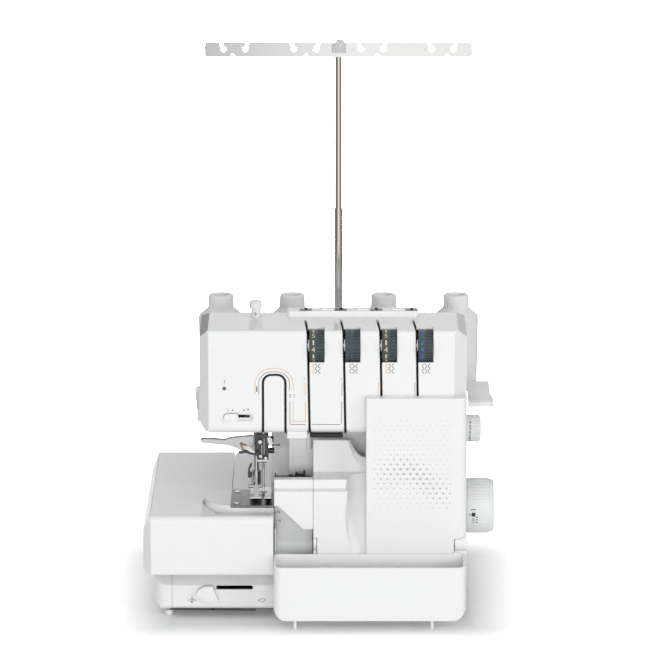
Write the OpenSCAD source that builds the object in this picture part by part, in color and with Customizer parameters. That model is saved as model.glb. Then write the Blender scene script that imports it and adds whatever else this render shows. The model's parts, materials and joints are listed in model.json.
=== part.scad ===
// Household overlock sewing machine with extension table, trim bin and thread stand.
// X runs right, Y runs back and Z runs up, in millimetres. The origin is on the surface the
// machine stands on, under the middle of its outline. Places are named by the axis they lie on.

/* [Column and base] */
// Outer face of the right side
right_x = 148; // [147:0.5:149]
// Left face of the column beside the needle
column_x = -31; // [-33:0.5:-30]
// Left face of the bed behind the needle plate
bed_x = -90; // [-92:0.5:-88]
// Left face of the base
base_x = -168; // [-171:0.5:-164]
// Front face of the base
base_y = -100; // [-102:0.5:-99]
// Rear face of the base and the bed
rear_y = 150; // [146:0.5:152]
// Rear face of the column
column_rear_y = 120; // [114:0.5:124]
// Height of the feet
foot_h = 6; // [5:0.5:8]
// Height of the base's flat top
base_top = 47; // [45:0.5:50]
// Wall of the moulded covers
wall = 3; // [2.4:0.1:3.4]
// Thickness of the bottom plate
plate_t = 1.5; // [1:0.1:2]
// Radius of a foot
foot_r = 3.8; // [3:0.1:4.5]

/* [Head] */
// Left face of the head
head_x = -121; // [-124:0.5:-118]
// Front face of the head
head_y = -98; // [-99:0.5:-97]
// Rear face of the head
head_rear_y = 30; // [28:0.5:34]
// Underside of the head
head_z = 190; // [189:0.5:192]
// Top of the head
head_top = 296.5; // [294:0.5:300]
// Seam between the front and rear head covers
head_seam_y = -12; // [-14:0.5:-10]
// Width of a front thread slot
slot_w = 2.3; // [2.1:0.1:2.8]
// Depth of a thread slot
slot_d = 8; // [7:0.5:8.5]
// Lean of the thread slots, in degrees
slot_lean = 1; // [0:0.5:1.5]

/* [Tension dials] */
// Radius of a tension dial
dial_r = 16.5; // [15:0.5:17]
// Width of a tension dial
dial_w = 14.6; // [13.5:0.1:15.4]
// Radius of a tension dial's axle
dial_axle_r = 2.4; // [2:0.1:3]
// Height of the dial axles
dial_z = 278.5; // [276:0.5:280]

/* [Front cover and bin] */
// Front face of the cover's right panel
cover_y = -110; // [-111:0.5:-109]
// Top of the cover's right panel
cover_top = 230; // [222:0.5:236]
// Left side of the cover's right panel
panel_x = 46.5; // [44:0.5:50]
// Seam between the cover and its left lip
lip_x = -6.5; // [-7:0.5:-6]
// Top of the cover's scooped middle
scoop_top = 177; // [174:0.5:178]
// Top of the ledge and the left lip
ledge_z = 143.7; // [141:0.1:146]
// Height of the cover's hinge axis
hinge_z = 79; // [78:0.5:82]
// Radius of the cover's hinge pins
hinge_pin_r = 2; // [1.5:0.1:2.4]
// Front face of the trim bin
bin_y = -155; // [-160:0.5:-150]
// Height of the bin's front rim
bin_rim_z = 66.8; // [62:0.2:68]
// Wall of the trim bin
bin_wall = 2.2; // [1.6:0.1:2.6]

/* [Bed and needle] */
// Top of the free arm and the needle plate
arm_top = 112.5; // [111.5:0.1:113.5]
// Depth of the free arm, front to back
arm_d = 70; // [68:0.5:72]
// Top of the extension table
table_top = 108.5; // [107:0.1:110]
// Left side of the extension table
table_x = -178; // [-182:0.5:-174]
// Thickness of the needle plate
needle_plate_t = 2.4; // [1.6:0.1:3]
// Radius of the needle bar
needle_bar_r = 3.2; // [2.8:0.1:3.6]
// Radius of the presser bar
presser_bar_r = 3; // [2.6:0.1:3.4]
// Spacing of the two needles
needle_pitch = 2; // [1.6:0.1:2.4]
// Radius of a needle
needle_r = 0.5; // [0.4:0.05:0.6]

/* [Drive] */
// Height of the main shaft
shaft_z = 96; // [95:0.5:97]
// Radius of the main shaft
shaft_r = 6; // [5:0.25:6.5]
// Radius of the handwheel
wheel_r = 28.5; // [27:0.5:30]
// Groove radius of the main shaft's pulley
drive_pulley_r = 32; // [28:0.5:33]
// Groove radius of the motor pulley
motor_pulley_r = 9; // [8:0.5:11]
// Radius of the motor's case
motor_r = 24; // [20:0.5:26]
// Thickness of the drive belt
belt_t = 2.5; // [2:0.1:3]
// Width of the drive belt
belt_w = 8; // [6:0.5:9]

/* [Thread stand] */
// Underside of the spool stand
stand_z = 172; // [170:0.5:174]
// Line of the spool pins, front to back
spool_y = 105; // [102:0.5:106]
// Radius of a thread cone at its base
cone_r = 22.5; // [20:0.5:24]
// Height of a thread cone with its cap
cone_h = 97; // [90:0.5:100]
// Radius of a spool pin
spool_pin_r = 3; // [2.5:0.1:3.5]
// Outer radius of the pole's lower tube
pole_r = 4.4; // [4.2:0.1:4.8]
// Outer radius of the pole's upper tube
tube_r = 3.8; // [3.6:0.05:3.8]
// Top of the pole's lower tube
pole_top = 381; // [375:1:385]
// Height of the thread guide plate's middle
guide_z = 549; // [540:1:552]
// Half the length of the thread guide plate
guide_half = 138; // [134:0.5:140]
// Height of the thread guide plate
guide_h = 15.6; // [14:0.2:18]
// Thickness of the thread guide plate
guide_t = 1.5; // [1:0.1:2]

/* [Fits] */
// Radial clearance of a running fit
fit = 0.05; // [0.03:0.01:0.08]
// Gap between pieces that move past each other
gap = 0.5; // [0.4:0.05:0.6]
// Gap between a loose piece and what carries it
seat = 0.3; // [0.2:0.05:0.35]

/* [Hidden] */
$fn = 48;

cut = 1; // how far a cutting shape runs past the face that it cuts
white = "white";
shaft_y = -20;
frame_front_y = -40; // front of the column's bulkhead
right_bulge_x = 100; // where the bulkhead steps forward for the pulley
right_bulge_y = -62;
inner_x = right_x - wall; // inner face of the right side cover

needle_x = -57.5;
needle_y = -45;
needle_tip_z = 118.5;
presser_x = -64.7;
presser_y = -32;
clamp_z = 149;
clamp_h = 29;

arm_y = -85;
arm_rear_y = arm_y + arm_d;
arm_left_r = arm_d / 2;
arm_mid_y = arm_y + arm_left_r;
arm_mid_x = -83;
arm_right_x = -46.5;
arm_bottom = 72;

slot_x = [-11.8, 24.1, 60.9, 97.2];
dial_y = -86;
dial_x = [for (s = slot_x) s + 1.7];

hinge_y = -103;
knuckle_r = 4.2;
pillar_r = 8.2;
pillar_back_y = hinge_y + 8;
cover_skirt_z = 55.3;
cover_left_end = lip_x + 4;
cover_right_end = 135.5;
lip_left_x = -45.7;

spool_x = [-103.4, -28.9, 66.4, 141.9];
pole_x = 19.2;
pole_bottom = stand_z;
holder_half = 7.2;
cushion_t = 3;
stand_top = stand_z + 18;

// ---- Helpers ----

// A profile drawn in Y and Z, carried along X from x0 to x1.
module along_x(x0, x1) translate([x0, 0, 0]) rotate([90, 0, 90]) linear_extrude(x1 - x0) children();

// A profile drawn in X and Z, carried along Y from y0 to y1.
module along_y(y0, y1) translate([0, y1, 0]) rotate([90, 0, 0]) linear_extrude(y1 - y0) children();

// A profile drawn in X and Y, carried along Z from z0 to z1.
module along_z(z0, z1) translate([0, 0, z0]) linear_extrude(z1 - z0) children();

// A box between two corners.
module block(low, high) translate(low) cube(high - low);

// A round bar along X, Y or Z from one point.
module bar_x(x0, x1, y, z, r) translate([x0, y, z]) rotate([0, 90, 0]) cylinder(h = x1 - x0, r = r);
module bar_y(x, y0, y1, z, r) translate([x, y1, z]) rotate([90, 0, 0]) cylinder(h = y1 - y0, r = r);
module bar_z(x, y, z0, z1, r) translate([x, y, z0]) cylinder(h = z1 - z0, r = r);

// What a rounded corner loses: d points into the shape, r is the corner's radius.
module corner(x, y, dx, dy, r) if (r > 0) difference() {
    translate([dx > 0 ? x - cut : x - r, dy > 0 ? y - cut : y - r]) square(r + cut);
    translate([x + dx * r, y + dy * r]) circle(r);
}

// A rectangle with its own radius at each corner: low left, low right, high right, high left.
module rounded(x0, y0, x1, y1, radii) difference() {
    translate([x0, y0]) square([x1 - x0, y1 - y0]);
    corner(x0, y0, 1, 1, radii[0]);
    corner(x1, y0, -1, 1, radii[1]);
    corner(x1, y1, -1, -1, radii[2]);
    corner(x0, y1, 1, -1, radii[3]);
}

// ---- Base ----

// The base's outline from above, drawn t inside its outer face.
module base_plan(t) rounded(base_x + t, base_y + t, right_x - t, rear_y - t, [14 - t, 4, 10 - t, 10 - t]);

// The base from the side: an undercut foot line and a slanted top to the front panel.
module base_side(t) polygon([
    [base_y + 6 + t, foot_h], [rear_y - t, foot_h], [rear_y - t, base_top - t],
        [base_y + 12 + t, base_top - t],
    [base_y + 9 + t, 43.5 - t], [base_y + t, 33 - t], [base_y + t, foot_h + 5]]);

// The base from the front: chamfered at the lower left, as high as the base's top.
module base_front(t) polygon([
    [base_x + 10 + t, foot_h], [right_x - t, foot_h], [right_x - t, base_top - t],
        [base_x + 5 + t, base_top - t],
    [base_x + t, base_top - 6], [base_x + t, foot_h + 10]]);

module base_solid(t) intersection() {
    along_z(foot_h - (t > 0 ? cut : 0), base_top - t) base_plan(t);
    along_x(base_x, right_x) base_side(t);
    along_y(base_y, rear_y) base_front(t);
}

panel_left_x = -149.5;
panel_right_x = -46;
panel_t = 3;
toe_y = -110.5; // front of the toe behind the bin
toe_top = 53;
slot_z0 = 28.8;
slot_z1 = 33;
slot_left_x = -119;
slot_right_x = -67.5;

// The knuckle and neck that hold a hinge pin clear of the swinging cover.
module hinge_block(x0, x1, z0) along_x(x0, x1) {
    translate([hinge_y, hinge_z]) circle(pillar_r);
    translate([hinge_y - 5.5, z0]) square([5.5 + pillar_back_y - hinge_y, hinge_z - 7.3 - z0]);
    translate([hinge_y - 3, z0]) square([3 + pillar_back_y - hinge_y, hinge_z - z0]);
}

module base_housing() color(white) difference() {
    union() {
        difference() {
            base_solid(0);
            base_solid(wall);
            translate([0, 0, foot_h - cut]) linear_extrude(cut + plate_t) base_plan(wall);
            block([panel_left_x, base_y - cut, foot_h - cut], [panel_right_x, base_y + 12, base_top + cut]);
        }
        // The toe that the trim bin hangs on, in front of the column
        difference() {
            along_z(foot_h + 2, toe_top) rounded(panel_right_x + 0.5, toe_y, right_x, base_y + 8, [3, 6,
                0, 0]);
            block([panel_right_x + 3.5, toe_y + wall, foot_h],
                [right_x - wall, base_y + 9, toe_top - wall]);
        }
        hinge_block(lip_x + 0.3, cover_left_end - 0.7, toe_top - wall);
    }
    bar_x(lip_x - cut, cover_left_end + cut, hinge_y, hinge_z, hinge_pin_r);
}

// The front panel at the left, with the slot that the mode lever runs in.
module lever_panel() color(white) difference() {
    intersection() {
        base_solid(0);
        block([panel_left_x + 0.2, base_y, foot_h + 1.5], [panel_right_x - 0.2, base_y + 12, base_top]);
    }
    translate([0, panel_t, 0]) difference() {
        block([panel_left_x - cut, base_y, 0], [panel_right_x + cut, base_y + 20, base_top - wall]);
        along_x(panel_left_x - 2 * cut, panel_right_x + 2 * cut) polygon([
            [base_y - cut, 33], [base_y, 33], [base_y + 9, 43.5], [base_y + 20, 43.5], [base_y + 20, 60],
            [base_y - cut, 60]]);
    }
    along_y(base_y - cut, base_y + 20)
        rounded(slot_left_x, slot_z0, slot_right_x, slot_z1, [1.8, 1.8, 1.8, 1.8]);
}

module bottom_plate() color("dimgray") difference() {
    translate([0, 0, foot_h]) linear_extrude(plate_t) difference() {
        rounded(base_x + 10 + wall, base_y + 6 + wall, right_x - wall, rear_y - wall, [4, 0, 7, 7]);
        for (x = [-120:12:-60], y = [60:8:108]) translate([x, y]) square([8, 3]);
    }
}

foot_places = [[-153, -90], [-153, rear_y - 16], [128, -84], [128, rear_y - 16], [-30, -84]];

module machine_feet() color("whitesmoke") for (p = foot_places)
    translate([p[0], p[1], 0]) rotate_extrude() polygon([
        [0, 0], [foot_r - 0.6, 0], [foot_r, 0.6], [foot_r, foot_h - 1.5], [foot_r + 1.5, foot_h],
            [0, foot_h]]);

// ---- Column ----

flank_x = column_x - 19; // the column's wider rear part starts at flank_y
flank_y = 14;

// The column from above; the bulkhead steps forward at the right for the drive pulley.
module column_plan(t) polygon([
    [column_x + t, frame_front_y + t], [right_bulge_x + t, frame_front_y + t],
    [right_bulge_x + t, right_bulge_y + t], [inner_x + (t > 0 ? cut : 0), right_bulge_y + t],
    [inner_x + (t > 0 ? cut : 0), column_rear_y - t], [flank_x + t, column_rear_y - t],
    [flank_x + t, flank_y + t], [column_x + t, flank_y + t]]);

module column_side(t) polygon([
    [right_bulge_y, base_top], [column_rear_y, base_top], [column_rear_y, stand_z],
    [head_rear_y, stand_z], [head_rear_y, head_z], [right_bulge_y, head_z]]);

module main_housing() color(white) difference() {
    union() {
        intersection() {
            along_z(base_top, head_z) column_plan(0);
            along_x(column_x, inner_x) column_side(0);
        }
        // The bed behind the needle plate
        along_z(base_top, table_top) rounded(bed_x, arm_rear_y, column_x + wall, rear_y, [1, 0, 0, 6]);
        along_z(base_top, table_top) rounded(column_x, column_rear_y - wall, inner_x, rear_y, [0, 0, 6, 0]);
        bar_z(-11, frame_front_y - 2.5, 161, head_z, 3.2); // stub of the inner thread guide
        // Rounded corner between the column and the underside of the head
        along_y(frame_front_y, head_rear_y) translate([column_x - 12, head_z - 12]) difference() {
            square([12 + wall, 12]);
            circle(12);
        }
    }
    along_z(base_top - cut, head_z + cut) column_plan(wall);
    along_z(base_top - cut, table_top - wall)
        rounded(bed_x + wall, arm_rear_y + wall, column_x, rear_y - wall, [0, 0, 0, 3]);
    along_z(base_top - cut, table_top - wall)
        rounded(column_x, column_rear_y - cut - wall, inner_x + cut, rear_y - wall, [0, 0, 3, 0]);
    // The stand seals the top behind the head; the pole passes down through it
    bar_z(pole_x, spool_y, stand_z - wall - cut, stand_z + cut, tube_r + gap);
    // Window that the feed bar passes through
    block([column_x - cut, feed_bar_y - 3.5 - feed_travel, arm_top - 11.5],
        [column_x + wall + cut, feed_bar_y + 3.5 + feed_travel, arm_top - 3.5]);
    // Window that the knife arm reaches out of
    block([arm_x[0] - 1, frame_front_y - cut, 118.5],
        [arm_x[1] + 1, frame_front_y + wall + cut, 132.5]);
    // Ways for the looper shafts out of the bulkhead
    for (p = [upper_looper_p, lower_looper_p]) bar_y(p[0], frame_front_y - cut,
        frame_front_y + wall + cut, p[1], pivot_r);
}

stitch_y = -40; // stitch length dial
stitch_z = 182;
stitch_r = 14;
stitch_shaft_r = 4;

module right_side_cover() color(white) difference() {
    union() {
        along_x(inner_x, right_x) rounded(-94, base_top, head_rear_y, head_z, [0, 0, 0, 0]);
        along_x(inner_x, right_x) rounded(head_rear_y - cut, base_top, column_rear_y, stand_z, [0, 0, 0,
            0]);
        along_x(inner_x, right_x) rounded(column_rear_y - cut, base_top, rear_y, table_top, [0, 6, 6, 0]);
        // The slight swelling between the two dials
        along_x(right_x - cut, right_x + 1.2) rounded(-62, 132, -6, 164, [8, 8, 8, 8]);
        // The fixed lower corner that carries the right hinge pin
        hinge_block(cover_right_end + 0.7, right_x, toe_top);
        along_x(inner_x, right_x) polygon([[-96, base_top], [-90, base_top], [-90, hinge_z],
            [-96, hinge_z]]);
        block([cover_right_end + 0.7, pillar_back_y - 2, toe_top], [inner_x + cut, -92, hinge_z]);
    }
    bar_x(cover_right_end, right_x - 4, hinge_y, hinge_z, hinge_pin_r);
    block([cover_right_end, toe_y - 10, 0], [right_x + cut, base_y + 8, toe_top]);
    bar_x(inner_x - cut, right_x + 2, shaft_y, shaft_z, shaft_r + 2.5);
    bar_x(inner_x - cut, right_x + 2, stitch_y, stitch_z, stitch_shaft_r + fit);
    block([inner_x - cut, inlet_y0, inlet_z0], [right_x + cut, inlet_y1, inlet_z1]);
}

// ---- Head ----

// The whole head drawn t inside its outer faces: three outlines crossed with each other.
module head_solid(t) intersection() {
    along_z(head_z + t, head_top - t) polygon([
        [head_x + 9.6, head_y + t], [right_x - 12.6, head_y + t], [right_x - t, head_y + 15],
        [right_x - t, head_rear_y - 12], [right_x - 12, head_rear_y - t], [head_x + 12, head_rear_y - t],
        [head_x + t, head_rear_y - 12], [head_x + t, head_y + 13]]);
    along_x(head_x, right_x) difference() {
        rounded(head_y + t, head_z + t, head_rear_y - t, head_top - t, [9 - t, 3, 3, 5 - t]);
        polygon([[head_seam_y, head_top - t], [head_rear_y, head_top - 14 - t],
            [head_rear_y, head_top + cut],
            [head_seam_y, head_top + cut]]);
    }
    along_y(head_y, head_rear_y) difference() {
        rounded(head_x + t, head_z + t, right_x - t, head_top - t, [15 - t, 0, 0, 0]);
        translate([head_x + t, head_top - t]) polygon([[-cut, cut], [10, cut], [9, 0], [0, -9],
            [-cut, -10]]);
        translate([right_x - t, head_top - t]) polygon([[cut, cut], [-10, cut], [-9, 0], [0, -9],
            [cut, -10]]);
    }
}

dial_window_z = 264.2; // lower edge of the openings for the dials
arch_x = -45.5;
arch_half = 12.4;
arch_top = 252.5;
arch_r = 9.5;
tongue_z = 185.8;
mouth = [[-76, -58], [-46, -20]]; // opening under the head for the needle and presser bars

// One thread slot as a solid of width w, from z0 up to z1, leaning with the slots.
module slot_shape(i, w, d, z0, z1) translate([slot_x[i], 0, head_top]) rotate([0, -slot_lean, 0])
    translate([-w / 2, head_y - cut, z0 - head_top]) cube([w, d + cut, z1 - z0]);

// The slot's run over the top of the head, towards the guide bar.
module top_slot(i, w, d) translate([slot_x[i], head_y, head_top]) rotate([0, 0, 3.2])
    translate([-w / 2, -cut, -d]) cube([w, 53 + cut, d + cut]);

// The arch-shaped channel's ring: s grows it outwards, n narrows it from the inside.
module arch_ring(s) difference() {
    rounded(arch_x - arch_half - s, head_z - 8, arch_x + arch_half + s, arch_top + s,
        [0, 0, arch_r + s, arch_r + s]);
    rounded(arch_x - arch_half + slot_w - s, head_z - 9, arch_x + arch_half - slot_w + s,
        arch_top - slot_w + s, [0, 0, arch_r - slot_w + s, arch_r - slot_w + s]);
}

slider_x0 = -96.4;
slider_x1 = -66.8;
slider_z0 = 203.9;
slider_z1 = 212.2;
knob_neck_r = 5;
lifter_pivot = [-60, 200];
lifter_y0 = 4;
lifter_y1 = 12;

module head_front_cover() color(white) difference() {
    union() {
        difference() {
            head_solid(0);
            head_solid(wall);
        }
        // The lip between the arch and the first slot reaches below the head
        along_z(tongue_z, head_z + wall) rounded(-33.2, head_y + 0.2, -12.2, head_y + 10, [2, 2, 0, 0]);
        // Bosses that back the slider and the lamp
        block([slider_x0 - 3, head_y + wall - cut, slider_z0 - 3],
            [slider_x1 + 3, head_y + 6, slider_z1 + 3]);
    }
    block([head_x - cut, head_seam_y, tongue_z - cut], [right_x + cut, head_rear_y + cut, head_top + cut]);
    for (i = [0:3]) {
        slot_shape(i, slot_w, slot_d, tongue_z - 6, head_top + cut);
        top_slot(i, slot_w, 6);
        block([slot_x[i], head_y - cut, dial_window_z],
            [dial_x[i] + dial_w + gap, dial_y + 7, head_top + cut]);
    }
    along_y(head_y - cut, head_y + slot_d) arch_ring(0);
    block([mouth[0][0], mouth[0][1], head_z - cut], [mouth[1][0], mouth[1][1], head_z + wall + cut]);
    block([column_x + wall, frame_front_y + wall, head_z - cut],
        [inner_x - wall, head_seam_y + cut, head_z + wall + cut]);
    // The slider's track
    along_y(head_y - cut, head_y + 3.5) rounded(slider_x0, slider_z0, slider_x1, slider_z1, [4.1, 4.1,
        4.1, 4.1]);
    along_y(head_y - cut, head_y + 8) rounded(slider_x0 + 3, slider_z0 + 2.6, slider_x1 - 3,
        slider_z1 - 2.6, [1, 1, 1, 1]);
    bar_y(-95.5, head_y - cut, head_y + 1.5, 237.4, 1.8);
    bar_z(-64.7, presser_y, head_top - wall - cut, head_top + cut, knob_neck_r + fit);
}

module head_rear_cover() color(white) difference() {
    intersection() {
        difference() {
            head_solid(0);
            head_solid(wall);
        }
        block([head_x - cut, head_seam_y, head_z - cut], [right_x + cut, head_rear_y + cut,
            head_top + cut]);
    }
    block([column_x + wall, head_seam_y - cut, head_z - cut],
        [inner_x - wall, head_rear_y - wall, head_z + wall + cut]);
    block([lifter_pivot[0] - 22, lifter_y0 - gap, head_z - cut],
        [lifter_pivot[0] + 8, lifter_y1 + gap, head_z + wall + cut]);
    bar_x(right_x - wall - cut, right_x + cut, pump_y, pump_z, pump_pin_r + fit);
}

// Black liners of the thread slots and the arch, and the dark strip under the head.
module slot_liners() color("#22262a") {
    liner = 0.5;
    for (i = [0:3]) difference() {
        intersection() {
            slot_shape(i, slot_w, slot_d, i < 2 ? head_z : 200, head_top - 5);
            block([head_x, head_y + 0.2, 0], [right_x, head_y + slot_d, head_top]);
        }
        slot_shape(i, slot_w - 2 * liner, slot_d - liner, 0, head_top + cut);
        block([slot_x[i] - 8, head_y + 2.2, dial_z - disc_r - gap],
            [slot_x[i] + 8, head_y + 20, dial_z + disc_r + gap]);
        block([slot_x[i] - 8, head_y + slot_d - 1.6, dial_z - 20],
            [slot_x[i] + 20, head_y + 20, dial_z + 20]);
        block([slot_x[i] + 0.2, head_y - cut, dial_z - dial_r - gap],
            [slot_x[i] + 20, head_y + 20, head_top]);
    }
    difference() {
        along_y(head_y + 0.2, head_y + slot_d) intersection() {
            arch_ring(0);
            translate([arch_x - 20, head_z]) square([40, 80]);
        }
        along_y(head_y - cut, head_y + slot_d - liner) arch_ring(-liner);
    }
    along_y(head_y + 1, head_y + 10) rounded(-9.7, head_z - 3.6, 23.6, head_z, [1.5, 1.5, 0, 0]);
}

// ---- Free arm and bed ----

module arm_plan(t) {
    difference() {
        translate([arm_mid_x, arm_mid_y]) circle(arm_left_r - t);
        translate([arm_mid_x, arm_y - cut]) square([arm_d, arm_d + 2 * cut]);
    }
    translate([arm_mid_x, arm_y + t]) square([arm_right_x - arm_mid_x - t, arm_d - 2 * t]);
}

plate_x = -90;
plate_y = -84.6;
plate_rear_y = -20;
dog_x = [-66, -52];
dog_w = 4;
feed_bar_y = -29;
feed_travel = 2; // to each side of the middle

module free_arm() color(white) difference() {
    along_z(arm_bottom, arm_top) arm_plan(0);
    along_z(arm_bottom + wall, arm_top - wall - needle_plate_t) arm_plan(wall);
    block([plate_x, plate_y - cut, arm_top - needle_plate_t],
        [arm_right_x + cut, plate_rear_y, arm_top + cut]);
    block([needle_x - 16, needle_y - 22, arm_top - 12], [arm_right_x + cut, needle_y + 20, arm_top]);
    // Open towards the loopers
    block([arm_right_x - wall - cut, arm_y + wall + 3, arm_bottom + 6],
        [arm_right_x + cut, -24, arm_top - 3]);
}

module needle_plate() color("gray") difference() {
    block([plate_x + 0.1, plate_y, arm_top - needle_plate_t], [arm_right_x, plate_rear_y - 0.1, arm_top]);
    for (x = dog_x) block([x - dog_w / 2 - seat, needle_y - 15, 0],
        [x + dog_w / 2 + seat, needle_y + 17, 200]);
    block([needle_x - 3.2, needle_y - 2.4, 0], [needle_x + 2.6, needle_y + 2.4, 200]);
    for (p = [[-84, -76], [-84, -30]]) bar_z(p[0], p[1], 0, 200, 1.6);
}

module feed_dogs() color("silver") {
    tooth = 1.6;
    pitch = 2;
    for (x = dog_x) along_x(x - dog_w / 2, x + dog_w / 2) {
        translate([needle_y - 12, arm_top - 7]) square([26, 7 - tooth / 2]);
        for (i = [0:12]) translate([needle_y - 12 + i * pitch, arm_top - tooth / 2])
            polygon([[0, 0], [pitch, 0], [pitch * 0.8, tooth]]);
    }
    block([dog_x[0] - dog_w / 2, needle_y + 3.5, arm_top - 9.5],
        [dog_x[1] + dog_w / 2, needle_y + 13, arm_top - 7]);
    block([dog_x[0] - dog_w / 2, needle_y - 12, arm_top - 9.5],
        [dog_x[1] + dog_w / 2, needle_y - 6, arm_top - 7]);
    // The feed bar reaches back and across to the frame's left upright
    block([dog_x[1] - 2, needle_y + 12, arm_top - 9.5], [dog_x[1] + 2, feed_bar_y + 3, arm_top - 5.5]);
    block([dog_x[1] - 2, feed_bar_y - 3, arm_top - 9.5], [upright_x[0] - seat, feed_bar_y + 3,
        arm_top - 5.5]);
}

chute_x0 = -45.6;
chute_x1 = -7.4;
chute_back_y = -74;
chute_top = 118;

// The curved chute that leads trimmings forward into the bin.
module waste_chute() color("gainsboro") {
    along_x(chute_x0, chute_x1) difference() {
        translate([-106, toe_top]) square([106 + chute_back_y, chute_top - toe_top]);
        rounded(-130, toe_top + 2, chute_back_y - 2, chute_top + 20, [0, 20, 0, 0]);
        translate([-110, toe_top - cut]) square([4, 4]);
    }
    block([chute_x0, -98, toe_top + 1], [chute_x0 + 1.6, chute_back_y - 1, 92]);
}

// ---- Inner frame and drive ----

upright_x = [-6, 106];
upright_t = 10;
bush_wall = 2.5;
bush_l = 14;
beam_z = 226;

module bearing_block(z0, z1) {
    block([presser_x - 8, presser_y, z0], [needle_x + 9, -8, z1]);
    bar_z(needle_x, needle_y, z0, z1, 8);
    bar_z(presser_x, presser_y, z0, z1, 8);
    block([needle_x - 8, needle_y, z0], [needle_x + 8, -10, z1]);
}

module machine_frame() color("#8a8d90") difference() {
    union() {
        for (x = upright_x) block([x, frame_front_y + wall + 0.5, base_top], [x + upright_t, 8, 252]);
        block([upright_x[0], frame_front_y + wall + 0.5, base_top],
            [upright_x[1] + upright_t, 8, base_top + 6]);
        block([upright_x[0], -8, beam_z], [upright_x[1] + upright_t, 4, beam_z + 22]);
        block([presser_x - 8, -14, 202], [needle_x + 9, -4, 276]);
        block([presser_x - 8, -14, beam_z], [upright_x[0] + 2, 2, beam_z + 22]);
        bearing_block(202, 214);
        bearing_block(264, 276);
    }
    for (x = upright_x) bar_x(x - cut, x + upright_t + cut, shaft_y, shaft_z, shaft_r + bush_wall);
    bar_z(needle_x, needle_y, 190, 290, needle_bar_r + fit);
    bar_z(presser_x, presser_y, 190, 290, presser_bar_r + fit);
}

module shaft_bushes() color("peru") for (x = upright_x) difference() {
    union() {
        bar_x(x, x + upright_t, shaft_y, shaft_z, shaft_r + bush_wall);
        bar_x(x + upright_t, x + upright_t + 1.5, shaft_y, shaft_z, shaft_r + bush_wall + 1.5);
    }
    bar_x(x - cut, x + upright_t + 2 * cut, shaft_y, shaft_z, shaft_r + fit);
}

wheel_x0 = right_x + 1;
wheel_x1 = 178;
pulley_x = upright_x[1] + upright_t + 8;

module main_shaft() color("silver") {
    bar_x(upright_x[0] - 3, wheel_x0 + 12, shaft_y, shaft_z, shaft_r);
    // Eccentrics for the feed, the loopers and the knife
    for (x = [12, 34, 56, 78]) bar_x(x, x + 7, shaft_y + 2, shaft_z + (x > 40 ? 2 : -2), shaft_r + 5);
}

module handwheel() color(white) difference() {
    union() {
        translate([wheel_x0, shaft_y, shaft_z]) rotate([0, 90, 0]) rotate_extrude(convexity = 4) polygon([
            [0, 0], [wheel_r - 2, 0], [wheel_r - 0.4, 1.5], [wheel_r - 0.8, 22], [wheel_r - 1.4, 26],
            [wheel_r - 2.4, 28.2], [wheel_r - 4, wheel_x1 - wheel_x0], [0, wheel_x1 - wheel_x0]]);
        // Grip ribs round the rim, left out where the smooth mark window is
        for (a = [0:10:350]) if (a < 160 || a > 200) translate([wheel_x0 + 2, shaft_y,
            shaft_z]) rotate([a, 0, 0])
            translate([0, wheel_r - 2.4, -1.5]) cube([22, 2.4, 3]);
    }
    translate([wheel_x0 - cut, shaft_y, shaft_z]) rotate([0, 90, 0]) cylinder(h = 12 + cut, r = shaft_r);
    translate([wheel_x0 - cut, shaft_y, shaft_z]) rotate([0, 90, 0]) difference() {
        cylinder(h = 9 + cut, r = wheel_r - 5);
        cylinder(h = 10 + cut, r = shaft_r + 6);
    }
}

module pulley(x, y, z, groove_r, bore_r, w) difference() {
    translate([x - w / 2, y, z]) rotate([0, 90, 0]) rotate_extrude() polygon([
        [bore_r, 0], [groove_r + 2.5, 0], [groove_r + 2.5, 1.2], [groove_r, 1.2], [groove_r, w - 1.2],
        [groove_r + 2.5, w - 1.2], [groove_r + 2.5, w], [bore_r, w]]);
}

pulley_w = belt_w + 3.4;
motor_y = 62;
motor_z = 84;

module drive_pulley() color("#404448") pulley(pulley_x, shaft_y, shaft_z, drive_pulley_r, shaft_r,
    pulley_w);

module motor_pulley() color("#404448") {
    pulley(pulley_x, motor_y, motor_z, motor_pulley_r, 3, pulley_w);
    bar_x(106, pulley_x + pulley_w / 2 + 2, motor_y, motor_z, 3);
}

module motor() color("#55595d") {
    difference() {
        union() {
            bar_x(36, 98, motor_y, motor_z, motor_r);
            bar_x(98, 106, motor_y, motor_z, 10);
            block([44, motor_y - 20, base_top], [92, motor_y + 20, motor_z - 10]);
        }
        bar_x(97, 107, motor_y, motor_z, 3 + fit);
        for (x = [52, 64, 76]) bar_x(x, x + 3, motor_y, motor_z, motor_r + cut);
    }
    bar_x(50, 81, motor_y, motor_z, motor_r - 2);
}

belt_span = norm([motor_y - shaft_y, motor_z - shaft_z]);
belt_angle = atan2(motor_z - shaft_z, motor_y - shaft_y);
belt_lean = asin((drive_pulley_r - motor_pulley_r) / belt_span);

// The belt's outline: an arc round each pulley, joined by their outer tangents.
function belt_loop(s) = let (a = 90 - belt_lean, steps = 20) concat(
    [for (i = [0:steps]) let (t = a + (360 - 2 * a) * i / steps) (drive_pulley_r + s) * [cos(t), sin(t)]],
    [for (i = [0:steps]) let (t = -a + 2 * a * i / steps)
        [belt_span, 0] + (motor_pulley_r + s) * [cos(t), sin(t)]]);

module drive_belt() color("#1c1c1e") translate([pulley_x - belt_w / 2, shaft_y, shaft_z])
    rotate([90, 0, 90]) rotate([0, 0, belt_angle]) linear_extrude(belt_w) difference() {
        polygon(belt_loop(seat + belt_t));
        polygon(belt_loop(seat));
    }

// ---- Needle, presser and loopers ----

module needle_bar() color("silver") bar_z(needle_x, needle_y, clamp_z + clamp_h - 6, 286, needle_bar_r);

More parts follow.
